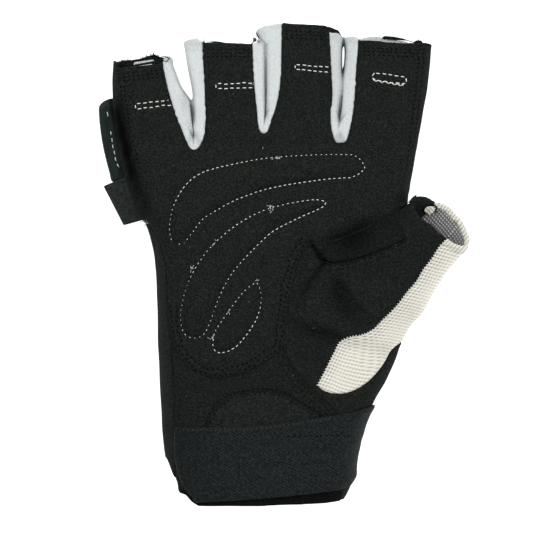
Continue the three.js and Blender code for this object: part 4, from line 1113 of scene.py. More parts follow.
# ---------------------------------------------------------------- the panels
PANELS = {
    "palm_upper": ("palm", "palm_suede"),
    "palm_heel": ("palm", "palm_suede"),
    "heel_patch": ("heel", "palm_suede"),
    "thumb_palm": ("palm", "palm_suede"),
    "thumb_web_patch": ("palm", "palm_suede"),
    "thumb_knit_back": ("knit", "thumb_knit"),
    "gusset_little_ring": ("lycra", "gusset_cloth"),
    "gusset_ring_middle": ("lycra", "gusset_cloth"),
    "gusset_middle_index": ("lycra", "gusset_cloth"),
    "back_panel": ("back", "back_cloth"),
}
FEWER = {"back_panel": 0.45, "palm_upper": 0.85}  # share of the faces that a large panel keeps
ROUNDING = {"knit": 0.45, "lycra": 0.6}  # how round a panel's edge is along its seams; suede is cut sharp
made, trees = {}, {}


def at_points(field, points):
    """A flat field's value over each point."""
    i = np.clip((points[:, 0] - LOW[0]) / STEP, 0, NX - 1.001)
    j = np.clip((points[:, 1] - LOW[1]) / STEP, 0, NY - 1.001)
    a, b = i.astype(int), j.astype(int)
    s, t = i - a, j - b
    return field[a, b] * (1 - s) * (1 - t) + field[a + 1, b] * s * (1 - t) + field[a, b + 1] * (1 - s) * t + field[a + 1, b + 1] * s * t


def crease_marks(points):
    """Distance to the nearest crease of the gussets, and how dark the painted shade along that crease is."""
    best, dark = np.full(len(points), 9.0), np.zeros(len(points))
    for rows in CREASES.values():
        x, y = photo(rows["x"], rows["y"])
        for i in range(len(x) - 1):
            ex, ey = x[i + 1] - x[i], y[i + 1] - y[i]
            k = ((points[:, 0] - x[i]) * ex + (points[:, 1] - y[i]) * ey) / (ex * ex + ey * ey)
            end = np.clip(k, 0, 1)
            away = np.hypot(points[:, 0] - x[i] - ex * end, points[:, 1] - y[i] - ey * end)
            signed = ((points[:, 0] - x[i]) * -ey + (points[:, 1] - y[i]) * ex) / math.hypot(ex, ey)
            near = away < np.abs(best)
            level = (rows["dark"][i] * (1 - end) + rows["dark"][i + 1] * end) * np.exp(-((np.maximum(away - np.abs(signed), 0) / 0.5) ** 2))
            best = np.where(near, np.where(signed < 0, -away, away), best)
            dark = np.where(near, level, dark)
    return np.clip(best, -2, 2), np.where((np.abs(best) < 1.6) & (points[:, 2] > 11), dark, 0)


def shaded_marks(points, rows):
    out = np.zeros(len(points))
    for i in range(len(rows["x"])):
        x, y = photo(rows["x"][i], rows["y"][i])
        out += rows["dark"][i] * np.exp(-(((points[:, 0] - x) / (rows["wide"][i] * PX)) ** 2 + ((points[:, 1] - y) / (rows["high"][i] * PX)) ** 2))
    return np.clip(out, 0, 0.9)


KNIT_LEAN = table("x slope", (8.0, 0.42), (18.9, 0.38), (23.0, 0.27), (25.7, 0.20), (30.4, 0.08), (34.5, 0.12), (38.9, 0.22), (46.0, 0.24), (62.0, 0.30))
KNIT_PITCH = table("y pitch", (-48.0, 1.30), (-34.0, 1.28), (-27.0, 1.08), (-20.0, 1.04), (-8.0, 1.12), (4.0, 1.20), (20.0, 1.20))


def knit_marks(points):
    """Cords and wales of the knit as texture coordinates, and its inside, its dark seam and its hem at the rim; the
    inside, the soft fold below the notch and the turned hem get painted shade.
    """
    x, y, z = points.T
    s, u, v = thumb_place(x, y, z)
    a = (x - TIP[0]) * THUMB_DIR[0] + (y - TIP[1]) * THUMB_DIR[1]
    b = np.clip((a + 36.0) / 20.0, 0, 1)
    b = b * b * (3 - 2 * b)
    fine = np.arange(-90.0, 60.0, 0.1)
    lean = np.cumsum(np.interp(fine, KNIT_LEAN["x"], KNIT_LEAN["slope"])) * 0.1
    count = np.cumsum(1 / np.interp(fine, KNIT_PITCH["y"], KNIT_PITCH["pitch"])) * 0.1
    rows = np.interp(y + np.interp(x, fine, lean) - np.interp(24.0, fine, lean), fine, count)
    away = line_distance(x, y, curve(KNIT_SEAM, 1.0))
    low = np.clip(16 - z, 0, 30)
    wales = (away + low * 0.6) / 1.06
    inner = (thumb_distance(s, u, v, 0.0) < -0.6 * WALL) & (s < thumb_rim(u, v) - 1.05)
    crook = line_distance(x, y, np.array([photo(*p) for p in ((336, 337), (352, 342), (368, 345), (384, 348))]))
    hem = np.clip((s - thumb_rim(u, v) + 1.6) / 0.3, 0, 1)
    wales, rows = np.where(inner, wales * 1.14, wales), np.where(inner, s / 0.99, rows)
    # shade: darker over the lobe at the thumb's base, painted shade in the soft fold below the notch, and painted shade
    # on the turned hem, which faces the light
    return np.column_stack([wales, rows]), {
        "inside": inner.astype(float), "seam": np.clip(1.3 - away / 3.4, 0, 1), "hem": hem, "shade": 0.04 + 0.11 * (1 - b) + 0.20 * np.exp(-((crook / 2.6) ** 2)) + 0.16 * hem,
    }


for name, (look, slot) in PANELS.items():
    rise = STAND.get(name, 0.0) + (relief[name][:, :, None] * TOP_ZONE if name in relief else 0.0)
    if look == "knit":
        rise = 0.30 * np.clip((S_ - thumb_rim(U_, V_) + 1.7) / 0.6, 0, 1)
    shell = smax(OUTER - rise, -HOLLOW, 0.5)
    field = smax(shell, masks[name] - 0.06, ROUNDING.get(look, 0.5)).astype(np.float32)
    points, quads = biggest(*surface(field))
    # the shade mark carries painted shade of the folds and seams on top, and the panels made darker all over
    uv, marks = None, {"shade": at_points(SHADE2, points) * np.clip((points[:, 2] - 10) / 4, 0, 1) + SHADE_OF.get(name, 0.0)}
    if name in ("back_panel", "palm_upper"):
        marks["shade"] = marks["shade"] + shaded_marks(points, DARK_PLACES)
    if name in ("back_panel", "palm_heel"):
        marks["shade"] = marks["shade"] + 0.55 * np.clip((-76.0 - points[:, 1]) / 1.5, 0, 1)
    if look == "knit":
        uv, marks = knit_marks(points)
    if look == "lycra":
        crease, dark = crease_marks(points)
        marks = {"shade": shaded_marks(points, SHADED), "crease": crease, "crease_dark": dark}
    ob = new_piece(name + "_cloth", points, quads, MAT[look], uv, marks)
    if name in FEWER:
        keep_fewer(ob, FEWER[name])
    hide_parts(name)
    made[name] = ob
    trees[name] = BVHTree.FromPolygons(to_frame(points).tolist(), quads.tolist())

# ---------------------------------------------------------------- the elastic band
hand_out = section_distance(HAND, GX, GY, GZ, BAND_GAP + BAND, 0.7)
hand_in = section_distance(HAND, GX, GY, GZ, BAND_GAP, 0.7)
top_edge = np.interp(PX2[:, :1], *zip(*CUFF_TOP))[:, :, None]
foot_edge = np.interp(PX2[:, :1], *zip(*CUFF_FOOT))[:, :, None]
hem = 0.28 * np.clip(1 - np.abs(GY - (top_edge - 1.5)) / 1.7, 0, 1) + 0.2 * np.clip(1 - np.abs(GY - (foot_edge + 1.5)) / 1.6, 0, 1)
pucker = 0.16 * noise3(GX, GY * 2.2, GZ, 15.0, 12)
band = smax(hand_out - hem + pucker, -hand_in, 0.5)
side_y, side_x = (np.array(c, dtype=float) for c in zip(*((y, x) for x, y in reversed(CUFF_SIDE))))
side_edge = np.interp(PY2[:1, :], side_y, side_x)[:, :, None]
band = smax(smax(band, GY - top_edge, 0.7), foot_edge - GY, 0.7)
band = np.maximum(smax(band, side_edge - GX, 0.6), 0.05 - GZ).astype(np.float32)
points, quads = biggest(*surface(band))
mid_x, mid_z = -6.5, 12.0
ang = np.arctan2(points[:, 2] - mid_z, points[:, 0] - mid_x)
flat_top = np.where(points[:, 2] > 12, 1, -1)
uv = np.column_stack([np.where(np.abs(points[:, 0] - mid_x) < 26, points[:, 0], points[:, 0] - flat_top * (points[:, 2] - 12) * 0.8 * np.sign(points[:, 0] - mid_x)), points[:, 1]])
dim = 0.30 * np.clip((-20.0 - points[:, 0]) / 16.0, 0, 1)
cuff = new_piece("cuff_band_elastic", points, quads, MAT["elastic"], uv, {"shade": dim})
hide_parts("cuff_band")
made["cuff_band"] = cuff
trees["cuff_band"] = BVHTree.FromPolygons(to_frame(points).tolist(), quads.tolist())


# ---------------------------------------------------------------- the pull strap and the size tab
def slab(name, outline, low, high, node, material, bend, rounding=0.9, step=0.45, wear_and_highlight_edge=0.0):
    """A flat piece of a given outline with rounded edges, bent by a function of place."""
    p = np.asarray(outline, dtype=float)
    lo = (p[:, 0].min() - 2, p[:, 1].min() - 2, low - 3.0)
    hi = (p[:, 0].max() + 2, p[:, 1].max() + 2, high + 3.0)
    n = [int((hi[i] - lo[i]) / step) + 1 for i in range(3)]
    x = (lo[0] + step * np.arange(n[0]))[:, None, None]
    y = (lo[1] + step * np.arange(n[1]))[None, :, None]
    z = (lo[2] + step * np.arange(n[2]))[None, None, :]
    fx, fy = (a.copy() for a in np.broadcast_arrays(x[:, :, 0], y[:, :, 0]))
    d = polygon_distance(fx, fy, p)[:, :, None]
    lift, thick = bend(fx, fy)
    mid = ((low + high) / 2 + lift)[:, :, None]
    half = ((high - low) / 2 * thick)[:, :, None]
    field = smax(np.broadcast_to(d, (n[0], n[1], n[2])), np.abs(z - mid) - half, rounding).astype(np.float32)
    points, quads = biggest(*surface(field, lo, step))
    edge = polygon_distance(points[:, 0], points[:, 1], p)
    # worn: a lighter band along the edge of the top face, partly wear and partly a painted highlight
    worn = wear_and_highlight_edge * np.exp(-(((edge + 1.6) / 1.3) ** 2)) * (points[:, 2] > (low + high) / 2) * (0.7 + 0.6 * noise3(points[:, 0], points[:, 1], 0, 9.0, 5, 2))
    # painted shadow: beyond its stitches the strap lies in the shadow of the palm's edge
    stitched = photo(107.5, 111)[0] + (photo(107.5, 111)[1] - points[:, 1]) * 0.2  # the strap is darker beyond its stitches
    dim = 0.85 * np.clip((points[:, 0] - stitched - 0.2) / 1.2, 0, 1) * (wear_and_highlight_edge > 0)
    ob = new_piece(name, points, quads, material, np.column_stack([points[:, 0], points[:, 1]]), {"worn": np.clip(worn, 0, 1), "shade": dim})
    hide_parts(node)
    trees[node] = BVHTree.FromPolygons(to_frame(points).tolist(), quads.tolist())
    made[node] = ob
    return ob


STRAP_EDGE = [
    low_photo(x, y, 5.5)
    for x, y in (
        (98.3, 110), (98.6, 106.5), (101, 103), (105, 100), (111.3, 98), (121, 97.5), (137, 100), (141, 130), (146, 168), (136, 180),
        (124, 181.5), (111.8, 182), (108.9, 172), (105.9, 161), (103.0, 148), (100.6, 134), (99.1, 121),
    )
]
slab(
    "pull_strap_hide", curve(STRAP_EDGE + STRAP_EDGE[:1], 0.6)[:-1], 4.2, 6.9, "pull_strap", MAT["strap"],
    lambda x, y: (1.0 * np.clip((x + 60.5) / 4, 0, 1) ** 2 - 0.8 * np.clip((y - 52.5) / 4, 0, 1) ** 2, 1 + 0.1 * np.sin((y - 30) / 26 * math.pi)), 1.9, 0.4, 0.34,
)
TAB_EDGE = [low_photo(x, y, 8.0) for x, y in ((103.2, 186), (128.7, 175.5), (146, 178), (152, 216), (145, 219.6), (123.6, 225.6))]
slab(
    "size_tab_woven", TAB_EDGE, 7.4, 8.5, "size_tab", MAT["tab"],
    lambda x, y: (0.5 * np.sin((y - 14) / 15 * math.pi) * np.clip((-50 - x) / 8, 0, 1), np.ones(x.shape)), 0.5, 0.35,
)


# ---------------------------------------------------------------- stitches
def drop(x, y, on):
    """Highest point of the named pieces under a place, with its normal."""
    best = None
    o = to_frame((x, y, 60.0))
    for n in on:
        hit, normal, _, _ = trees[n].ray_cast(Vector(o), Vector((0, 0, -1)))
        if hit is not None and (best is None or hit.z > best[0].z):
            best = (hit, normal if normal.z > 0 else -normal)
    return best


RING = 7
PROFILE = [(-0.5, 0.25, -0.9), (-0.42, 0.78, -0.25), (-0.2, 1.0, 0.35), (0.0, 1.0, 0.5), (0.2, 1.0, 0.35), (0.42, 0.78, -0.25), (0.5, 0.25, -0.9)]


def stitch_row(path, on, pitch, length, radius, seed=0, wobble=0.08, closed=False, skip=(), lift=0.0):
    """Centres, directions and sizes of the stitches of one row."""
    rows = along_points(path)
    total = rows["t"][-1]
    n = max(1, int(round(total / pitch)))
    rng = np.random.RandomState(seed)
    out = []
    for i in range(n):
        t = (i + 0.5) * total / n + rng.uniform(-1, 1) * 0.05 * min(pitch, length)
        side = rng.normal() * wobble * radius * 2
        size = length * rng.uniform(0.92, 1.06)
        ends = []
        for k in (t - size / 2, t + size / 2):
            x, y = np.interp(k, rows["t"], rows["x"]), np.interp(k, rows["t"], rows["y"])
            ends.append((x, y))
        (ax, ay), (bx, by) = ends
        dx, dy = bx - ax, by - ay
        m = math.hypot(dx, dy) or 1
        ax, ay, bx, by = ax - dy / m * side, ay + dx / m * side, bx - dy / m * side, by + dx / m * side
        ha, hb = drop(ax, ay, on), drop(bx, by, on)
        if ha is None or hb is None or abs(ha[0].z - hb[0].z) > 0.0011 * max(1.0, size):
            continue
        out.append((ha[0], hb[0], (ha[1] + hb[1]).normalized(), radius, lift))
    return out


def stitches(name, rows, material):
    points, faces = [], []
    for a, b, normal, radius, lift in rows:
        along = b - a
        size = along.length
        if size < 1e-5:
            continue
        along.normalize()
        across = normal.cross(along).normalized()
        up = along.cross(across).normalized()
        mid = (a + b) / 2
        first = len(points)
        for at, wide, high in PROFILE:
            c = mid + along * (at * size) + up * ((high * radius + lift) / 1000)
            for k in range(RING):
                w = 2 * math.pi * k / RING
                points.append(c + across * (math.cos(w) * wide * radius / 1000) + up * (math.sin(w) * wide * radius * 0.8 / 1000))
        for r in range(len(PROFILE) - 1):
            for k in range(RING):
                p, q = first + r * RING + k, first + r * RING + (k + 1) % RING
                faces.append((p, q, q + RING, p + RING))
        faces.append(tuple(first + k for k in reversed(range(RING))))
        faces.append(tuple(first + (len(PROFILE) - 1) * RING + k for k in range(RING)))
    me = bpy.data.meshes.new(name)
    me.from_pydata([tuple(p) for p in points], [], faces)
    me.polygons.foreach_set("use_smooth", np.ones(len(me.polygons), dtype=bool))
    me.update()
    ob = bpy.data.objects.new(name, me)
    bpy.context.scene.collection.objects.link(ob)
    me.materials.append(material)
    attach(ob, "root")
    return ob


def straight(x0, y0, x1, y1):
    return np.array([photo(x0, y0), photo(x1, y1)])


FADED = table(
    "x y wide high fade",
    (171.0, 218.0, 7.0, 26.0, 0.80), (180.0, 308.0, 11.0, 40.0, 1.15), (196.0, 337.0, 9.0, 7.0, 0.55), (206.0, 256.0, 12.0, 12.0, 0.30),
    (261.0, 298.0, 4.0, 12.0, 0.70), (211.0, 312.0, 5.0, 14.0, 0.35), (187.0, 287.0, 6.0, 14.0, 1.25), (240.0, 225.0, 22.0, 12.0, -0.55),
)


def uneven(rows, seed, sink=0.10):
    """Thread that sinks into the cloth a little more here and there, and most where it is pulled tight."""
    rng = np.random.RandomState(seed)
    phase, slow = rng.uniform(0, 6.28), rng.uniform(0.10, 0.16)
    out = []
    for i, (a, b, n, radius, lift) in enumerate(rows):
        k = 0.5 + 0.5 * math.sin(i * slow + phase)
        mid, half = (a + b) / 2, (b - a) * (0.5 * (0.86 + 0.14 * k))
        fade = 0.0
        for j in range(len(FADED["x"])):
            x, y, _ = to_frame((*photo(FADED["x"][j], FADED["y"][j]), 0.0))
            away = ((mid.x - x) / (FADED["wide"][j] * PX / 1000)) ** 2 + ((mid.y - y) / (FADED["high"][j] * PX / 1000)) ** 2
            here = FADED["fade"][j] * math.exp(-away)  # below zero the thread stands out more
            fade = here if abs(here) > abs(fade) else fade
        half = half * (1 - 0.45 * fade)
        out.append((mid - half, mid + half, n, radius * (0.84 + 0.16 * k) * (1 - 0.55 * fade), lift - sink * (1 - k)))
    return out


def tuft(x, y, on, count, length, radius, seed, spread=0.35):
    """A few loose ends of thread at a place in the photograph."""
    rng = np.random.RandomState(seed)
    out = []
    for _ in range(count):
        cx, cy = photo(x + rng.normal() * spread / PX, y + rng.normal() * spread / PX)
        ang, size = rng.uniform(0, 2 * math.pi), length * rng.uniform(0.5, 1.3)
        hit = drop(cx, cy, on)
        if hit is None:
            continue
        a = hit[0]
        b = a + Vector((math.cos(ang) * size, math.sin(ang) * size, rng.uniform(0.1, 0.6) * size)) / 1000
        out.append((a, b, Vector((0, 0, 1)), radius * rng.uniform(0.7, 1.2), 0.0))
    return out


pale = []
for i, rows in enumerate(PADS.values()):
    pale += uneven(stitch_row(pad_outline(rows), ["palm_upper"], 1.70, 0.98, 0.15, 11 + i), 21 + i)


def loop(row):
    """A narrow loop of two rows that are joined at one or both ends."""
    (ax, ay), (bx, by), half, both = row
    d = np.array([bx - ax, by - ay])
    n = d / np.hypot(*d)
    w = np.array([-n[1], n[0]]) * half
    a, b = np.array([ax, ay]), np.array([bx, by])
    pts = [b + w, a + w + n * 0.6, a + w * 0.55 - n * 0.1, a - w * 0.55 - n * 0.1, a - w + n * 0.6, b - w]
    if both:
        pts = [b + w - n * 0.6, a + w + n * 0.6, a + w * 0.4, a - w * 0.4, a - w + n * 0.6, b - w - n * 0.6, b - w * 0.4, b + w * 0.4, b + w - n * 0.6]
    return np.array(pts)


FINGER_BARS = [
    (photo(134.9, 106.6), photo(172.0, 102.2), 0.80, False),
    (photo(215.6, 86.3), photo(253.4, 85.2), 0.80, False),
    (photo(294.4, 66.7), photo(329.3, 69.8), 0.76, False),
    (photo(372.2, 75.8), photo(406.6, 80.9), 1.22, True),
]
for i, bar in enumerate(FINGER_BARS):
    pale += stitch_row(loop(bar), ["palm_upper"], 2.0, 1.38, 0.175, 31 + i, wobble=0.25)
wave = [photo(x, 79.8 + (x - 373) * 0.172 + (1.1 if i % 2 else -0.7)) for i, x in enumerate(np.arange(372.8, 404, 3.1))]
for i, (a, b) in enumerate(zip(wave, wave[1:])):  # a thick, wavy underthread
    pale += stitch_row(np.array([a, b]), ["palm_upper"], 99, math.dist(a, b) * 1.15, 0.19, 400 + i, wobble=0.1, lift=0.08)
STRAP_STITCHES = [
    (107.2, 111.5, 108.4, 117), (110.8, 131, 111.5, 135.6), (111.9, 137.6, 112.6, 142.6), (112.8, 144.4, 113.5, 148.6),
    (113.9, 150.2, 115.0, 155), (115.2, 156.8, 116.3, 161.6), (117.0, 163.4, 119.4, 168.0), (123.2, 175.0, 127.6, 172.4), (121.2, 179.4, 127.0, 176.6),
]
for i, (x0, y0, x1, y1) in enumerate(STRAP_STITCHES):
    a, b = low_photo(x0, y0, 6.9), low_photo(x1, y1, 6.9)
    pale += stitch_row(np.array([a, b]), ["pull_strap", "back_panel", "palm_upper", "size_tab"], 99, math.dist(a, b) * 0.92, 0.17, 90 + i)
LOOSE_ENDS = table(
    "x y count length",
    (278, 158, 7, 1.0), (273, 159, 3, 0.7), (271, 207, 8, 1.1), (272, 211, 3, 0.9), (214, 243, 4, 0.8), (191, 268, 6, 0.9), (229, 313, 4, 0.7),
    (212, 338, 7, 0.9), (257, 281, 3, 0.6), (263, 147, 2, 0.7), (252, 84, 3, 0.6),
)
for i in range(len(LOOSE_ENDS["x"])):
    pale += tuft(LOOSE_ENDS["x"][i], LOOSE_ENDS["y"][i], ["palm_upper"], int(LOOSE_ENDS["count"][i]), LOOSE_ENDS["length"][i], 0.07, 200 + i)
rng = np.random.RandomState(7)
for i in range(12):  # lint
    pale += tuft(rng.uniform(130, 400), rng.uniform(75, 390), ["palm_upper", "thumb_palm", "palm_heel"], 1, 0.3, 0.035, 300 + i)
pale += tuft(145, 222, ["size_tab", "back_panel", "palm_upper"], 14, 1.5, 0.09, 340, 0.5)
stitches("pale_stitches", pale, MAT["pale_thread"])

dark = []
for i, line in enumerate(PALM_ROWS):
    dark += stitch_row(line, ["palm_upper"], 1.7, 1.15, 0.25, 50 + i, lift=-0.09, wobble=0.4)
for i, line in enumerate(double_row(WEB_SEAM, -1.0, -2.4)):
    dark += stitch_row(line, ["thumb_palm"], 2.0, 1.3, 0.17, 60 + i, lift=-0.12)
for i, line in enumerate(double_row(HEEL_PATCH, -0.8, 0.9) + double_row(BALL_SEAM, -1.2, -2.8)):
    dark += stitch_row(line, ["palm_heel", "heel_patch", "thumb_palm"], 1.6, 1.0, 0.20, 70 + i, lift=-0.1, wobble=0.3)
EDGE_ROWS = table(
    "x0 y0 x1 y1",
    (116.5, 74.0, 163.0, 69.5), (117.0, 77.5, 164.0, 73.0), (117.0, 81.0, 165.0, 76.5),
    (206.0, 49.5, 251.0, 49.0), (206.0, 53.0, 251.0, 52.5), (206.0, 56.5, 251.0, 56.0),
    (284.5, 30.5, 326.0, 32.5), (284.5, 34.0, 327.5, 36.0), (284.5, 37.5, 328.5, 39.5),
    (362.0, 47.5, 426.0, 50.0), (362.0, 51.0, 425.5, 53.5), (362.0, 54.5, 425.0, 57.0),
    (424.5, 56.0, 411.5, 172.0), (419.5, 56.0, 406.5, 172.0),
    (120.0, 84.0, 125.5, 125.0), (125.5, 125.0, 135.5, 172.0), (135.5, 172.0, 146.0, 206.0),
    (124.0, 84.0, 129.5, 125.0), (129.5, 125.0, 139.5, 170.0),
)
for i in range(len(EDGE_ROWS["x0"])):
    row = straight(*(EDGE_ROWS[c][i] for c in ("x0", "y0", "x1", "y1")))
    dark += stitch_row(row, ["palm_upper"], 1.6, 0.95, 0.21, 80 + i, lift=-0.06)
stitches("dark_stitches", dark, MAT["dark_thread"])


def seam_cord(line, on, radius, low, seed):
    """The turned-in edges of the cloth along a seam, which fill it from below."""
    rows = along_points(line)
    left, right = offset_line(line, 0.7), offset_line(line, -0.7)
    rng = np.random.RandomState(seed)
    out, last = [], None
    for t in np.arange(0, rows["t"][-1], 0.8):
        x, y = np.interp(t, rows["t"], rows["x"]), np.interp(t, rows["t"], rows["y"])
        sides = [drop(np.interp(t, rows["t"], s[:, 0]), np.interp(t, rows["t"], s[:, 1]), on) for s in (left, right)]
        if None in sides or abs(sides[0][0].z - sides[1][0].z) > 0.0016:
            last = None
            continue
        z = (sides[0][0].z + sides[1][0].z) * 500 - low + rng.uniform(-0.03, 0.03)
        here = Vector(to_frame((x, y, z)))
        if last is not None:
            out.append((last - (here - last) * 0.2, here + (here - last) * 0.2, (sides[0][1] + sides[1][1]).normalized(), radius, 0.0))
        last = here
    return out


SUEDES = ["palm_upper", "palm_heel", "thumb_palm", "heel_patch", "thumb_web_patch", "back_panel"]
cords = []
for i, (line, radius, low) in enumerate((
    (curve(PALM_HEM, 0.8), 0.40, 0.62), (curve(THUMB_SEAM, 0.8), 0.40, 0.62), (curve(BALL_SEAM, 0.8), 0.40, 0.62), (curve(HEEL_PATCH, 0.8), 0.40, 0.60),
    (curve([(-37.9, -36.0), (-36.9, -42.0), (-36.5, -48.0), (-36.2, -56.0)], 0.8), 0.42, 0.45),
    (curve(WEB_FOLD, 0.8), 0.40, 0.56), (curve([WEB_FOLD[-2], (39.8, 12.4), (41.4, 7.8)], 0.8), 0.40, 0.50), (curve(WEB_SEAM, 0.8), 0.38, 0.72),
)):
    cords += seam_cord(line, SUEDES, radius, low, 90 + i)
seams = stitches("turned_in_seam_edges", cords, MAT["palm"])

# The overlocked upper edge of the elastic band: short loops over it, and a row below its right half.
hem_rows = []
edge = curve([(x, y) for x, y in CUFF_TOP if -50 < x < 45], 0.5)
for n in range(62):
    x = -33.5 + n * 1.55
    if x > 16.5:
        break
    y = float(np.interp(x, edge[:, 0], edge[:, 1]))
    hem_rows += stitch_row(np.array([(x - 0.25, y - 1.7), (x + 0.2, y - 0.3)]), ["cuff_band"], 1.4, 1.2, 0.17, 400 + n, lift=-0.03)
stitches("band_row_stitches", stitch_row(straight(286, 435.6, 357, 434.6), ["cuff_band"], 1.9, 1.3, 0.20, 470, lift=-0.08), MAT["dark_thread"])
stitches("band_hem_stitches", hem_rows, MAT["hem_thread"])


# The seam of the knit: pale loops that reach over the dark cloth's edge, with dark thread between them.
def over_seam(line, on, pitch, start, end, radius, seed, shift=0.0):
    """Stitches across a line, from one distance to its left to another."""
    rng = np.random.RandomState(seed)
    rows = along_points(line)
    near, far = offset_line(line, start), offset_line(line, end)
    out = []
    for t in np.arange(pitch * (0.5 + shift), rows["t"][-1], pitch):
        t = t + rng.uniform(-0.08, 0.08)
        k = 1 + rng.uniform(-0.15, 0.15)
        ends = [np.array([np.interp(t, rows["t"], side[:, 0]), np.interp(t, rows["t"], side[:, 1])]) for side in (near, far)]
        middle = (ends[0] + ends[1]) / 2
        hits = [drop(*(middle + (e - middle) * k), on) for e in ends]
        if None in hits or abs(hits[0][0].z - hits[1][0].z) > 0.0011:
            continue
        out.append((hits[0][0], hits[1][0], (hits[0][1] + hits[1][1]).normalized(), radius, 0.02))
    return out


seam_line = curve(KNIT_SEAM[1:], 0.4)
stitches("knit_seam_loops", over_seam(seam_line, ["thumb_knit_back", "thumb_palm"], 1.02, 0.34, -0.30, 0.17, 601), MAT["pale_thread"])
stitches("knit_seam_threads", over_seam(seam_line, ["thumb_knit_back", "thumb_palm"], 1.02, 0.20, -0.12, 0.06, 602, 0.5), MAT["dark_thread"])


# ---------------------------------------------------------------- cut edges of cloth inside the finger mouths
# Each strip lies on the back's inner face (level is how far above it) and is bounded by its upper edge, in the
# photograph's pixels, and either runs on inside the finger by some millimetres or ends at a lower edge.
STRIPS = (
    ("little", "lining", 0.5, 10.0, ((133.8, 63.4), (134.8, 62.1), (144.0, 60.9), (153.0, 59.6), (154.6, 61.2)), None),
    ("little", "back", 1.2, 9.0, ((133.6, 65.6), (134.4, 64.5), (144.0, 62.7), (154.4, 60.9)), None),
    ("little", "lining", 1.9, 8.0, ((134.6, 67.6), (135.4, 66.3), (144.0, 65.0), (152.0, 63.9), (152.8, 65.4)), None),
    ("ring", "lining", 0.5, 10.0, (
        (204.6, 44.0), (207.0, 41.9), (209.0, 41.2), (212.0, 41.2), (215.0, 42.2), (219.0, 42.9), (225.0, 43.8), (236.3, 44.2),
        (237.2, 43.0), (242.8, 43.0), (243.6, 44.3), (251.0, 44.6)), None),
    ("ring", "back", 1.1, 0, ((211.4, 41.9), (213.0, 41.1), (219.0, 41.5), (225.0, 42.7), (236.6, 43.2)), ((211.4, 42.4), (219.0, 42.9), (225.0, 44.0), (236.6, 44.4))),
    ("ring", "back", 1.1, 0, ((243.2, 43.6), (251.0, 44.2)), ((243.2, 44.8), (251.0, 45.2))),
    ("ring", "lining", 5.2, 6.0, ((256.6, 43.0), (257.4, 40.4), (258.6, 38.7), (262.0, 38.9), (266.4, 40.1), (267.0, 42.0)), None),
    ("index", "lining", 0.5, 10.0, (
        (357.4, 41.0), (359.0, 38.8), (362.6, 38.4), (366.0, 37.5), (370.0, 36.9), (376.0, 36.6), (380.0, 37.0), (382.4, 38.8), (389.0, 39.2),
        (396.0, 40.2), (403.0, 41.0), (407.0, 42.2), (410.5, 43.8)), None),
    ("index", "back", 1.1, 0, ((382.0, 37.6), (384.0, 36.0), (389.0, 36.2), (395.0, 36.8), (402.0, 38.2), (406.8, 39.8), (411.0, 41.2), (414.6, 42.0)), ((382.0, 38.6), (384.0, 39.0), (389.0, 39.4), (395.0, 40.1), (402.0, 40.4), (406.8, 40.7), (411.0, 42.0), (414.6, 42.9))),
    ("index", "back", 1.1, 0, ((413.6, 42.2), (415.6, 40.6), (418.0, 40.2), (421.4, 40.5), (422.6, 42.4)), ((413.6, 44.2), (418.0, 43.8), (422.6, 44.0))),
)


def strip_mesh(finger, level, reach, top, bottom, thick):
    """Points and faces of one thin strip, closed all round."""
    rows = FINGERS[finger]
    ends = [np.array(line, dtype=float) for line in (top, bottom or top)]
    px = np.arange(ends[0][0, 0], ends[0][-1, 0] + 0.01, 0.5)
    n = 10 if bottom is None else 5
    points = []
    for side in (1, -1):
        for i, x in enumerate(px):
            high, low = (np.interp(x, e[:, 0], e[:, 1]) for e in ends)
            low = low + reach / PX
            for k in range(n):
                t = k / (n - 1)
                y = low + (high - low) * t
                deep = np.interp(photo(x, y)[1], rows["y"], rows["under"])
                z = deep + WALL + level + 0.12 * math.sin(i * 0.55 + 2 * t)
                round_off = 1 - 0.5 * abs(2 * t - 1) ** 4
                points.append((*low_photo(x, y, z), z + side * thick / 2 * round_off))
    faces, m = [], len(px) * n
    for i in range(len(px) - 1):
        for k in range(n - 1):
            a = i * n + k
            faces.append((a, a + n, a + n + 1, a + 1))
            faces.append((m + a, m + a + 1, m + a + n + 1, m + a + n))
    border = [i * n for i in range(len(px))] + [(len(px) - 1) * n + k for k in range(1, n)] + [i * n + n - 1 for i in reversed(range(len(px) - 1))] + [k for k in reversed(range(1, n - 1))]
    for p, q in zip(border, border[1:] + border[:1]):
        faces.append((p, m + p, m + q, q))
    return points, faces


for name, look in (("finger_lining_strips", "lining"), ("finger_back_edges", "back")):
    points, faces = [], []
    for finger, kind, level, reach, top, bottom in STRIPS:
        if kind == look:
            more, sides = strip_mesh(finger, level, reach, top, bottom, 0.6)
            faces += [tuple(i + len(points) for i in f) for f in sides]
            points += more
    none = np.zeros(len(points))
    made[name] = new_piece(name, np.array(points), faces, MAT[look], None, {"shade": none, "crease": none + 2, "crease_dark": none})

# ---------------------------------------------------------------- loose threads and frayed edges
def thread_line(places, radius):
    """A thread through places given in the photograph's pixels and their height in millimetres."""
    at = [Vector(to_frame((*low_photo(x, y, z), z))) for x, y, z in places]
    return [(a, b + (b - a) * 0.12, Vector((0.05, 0, 1)), radius, 0.0) for a, b in zip(at, at[1:])]


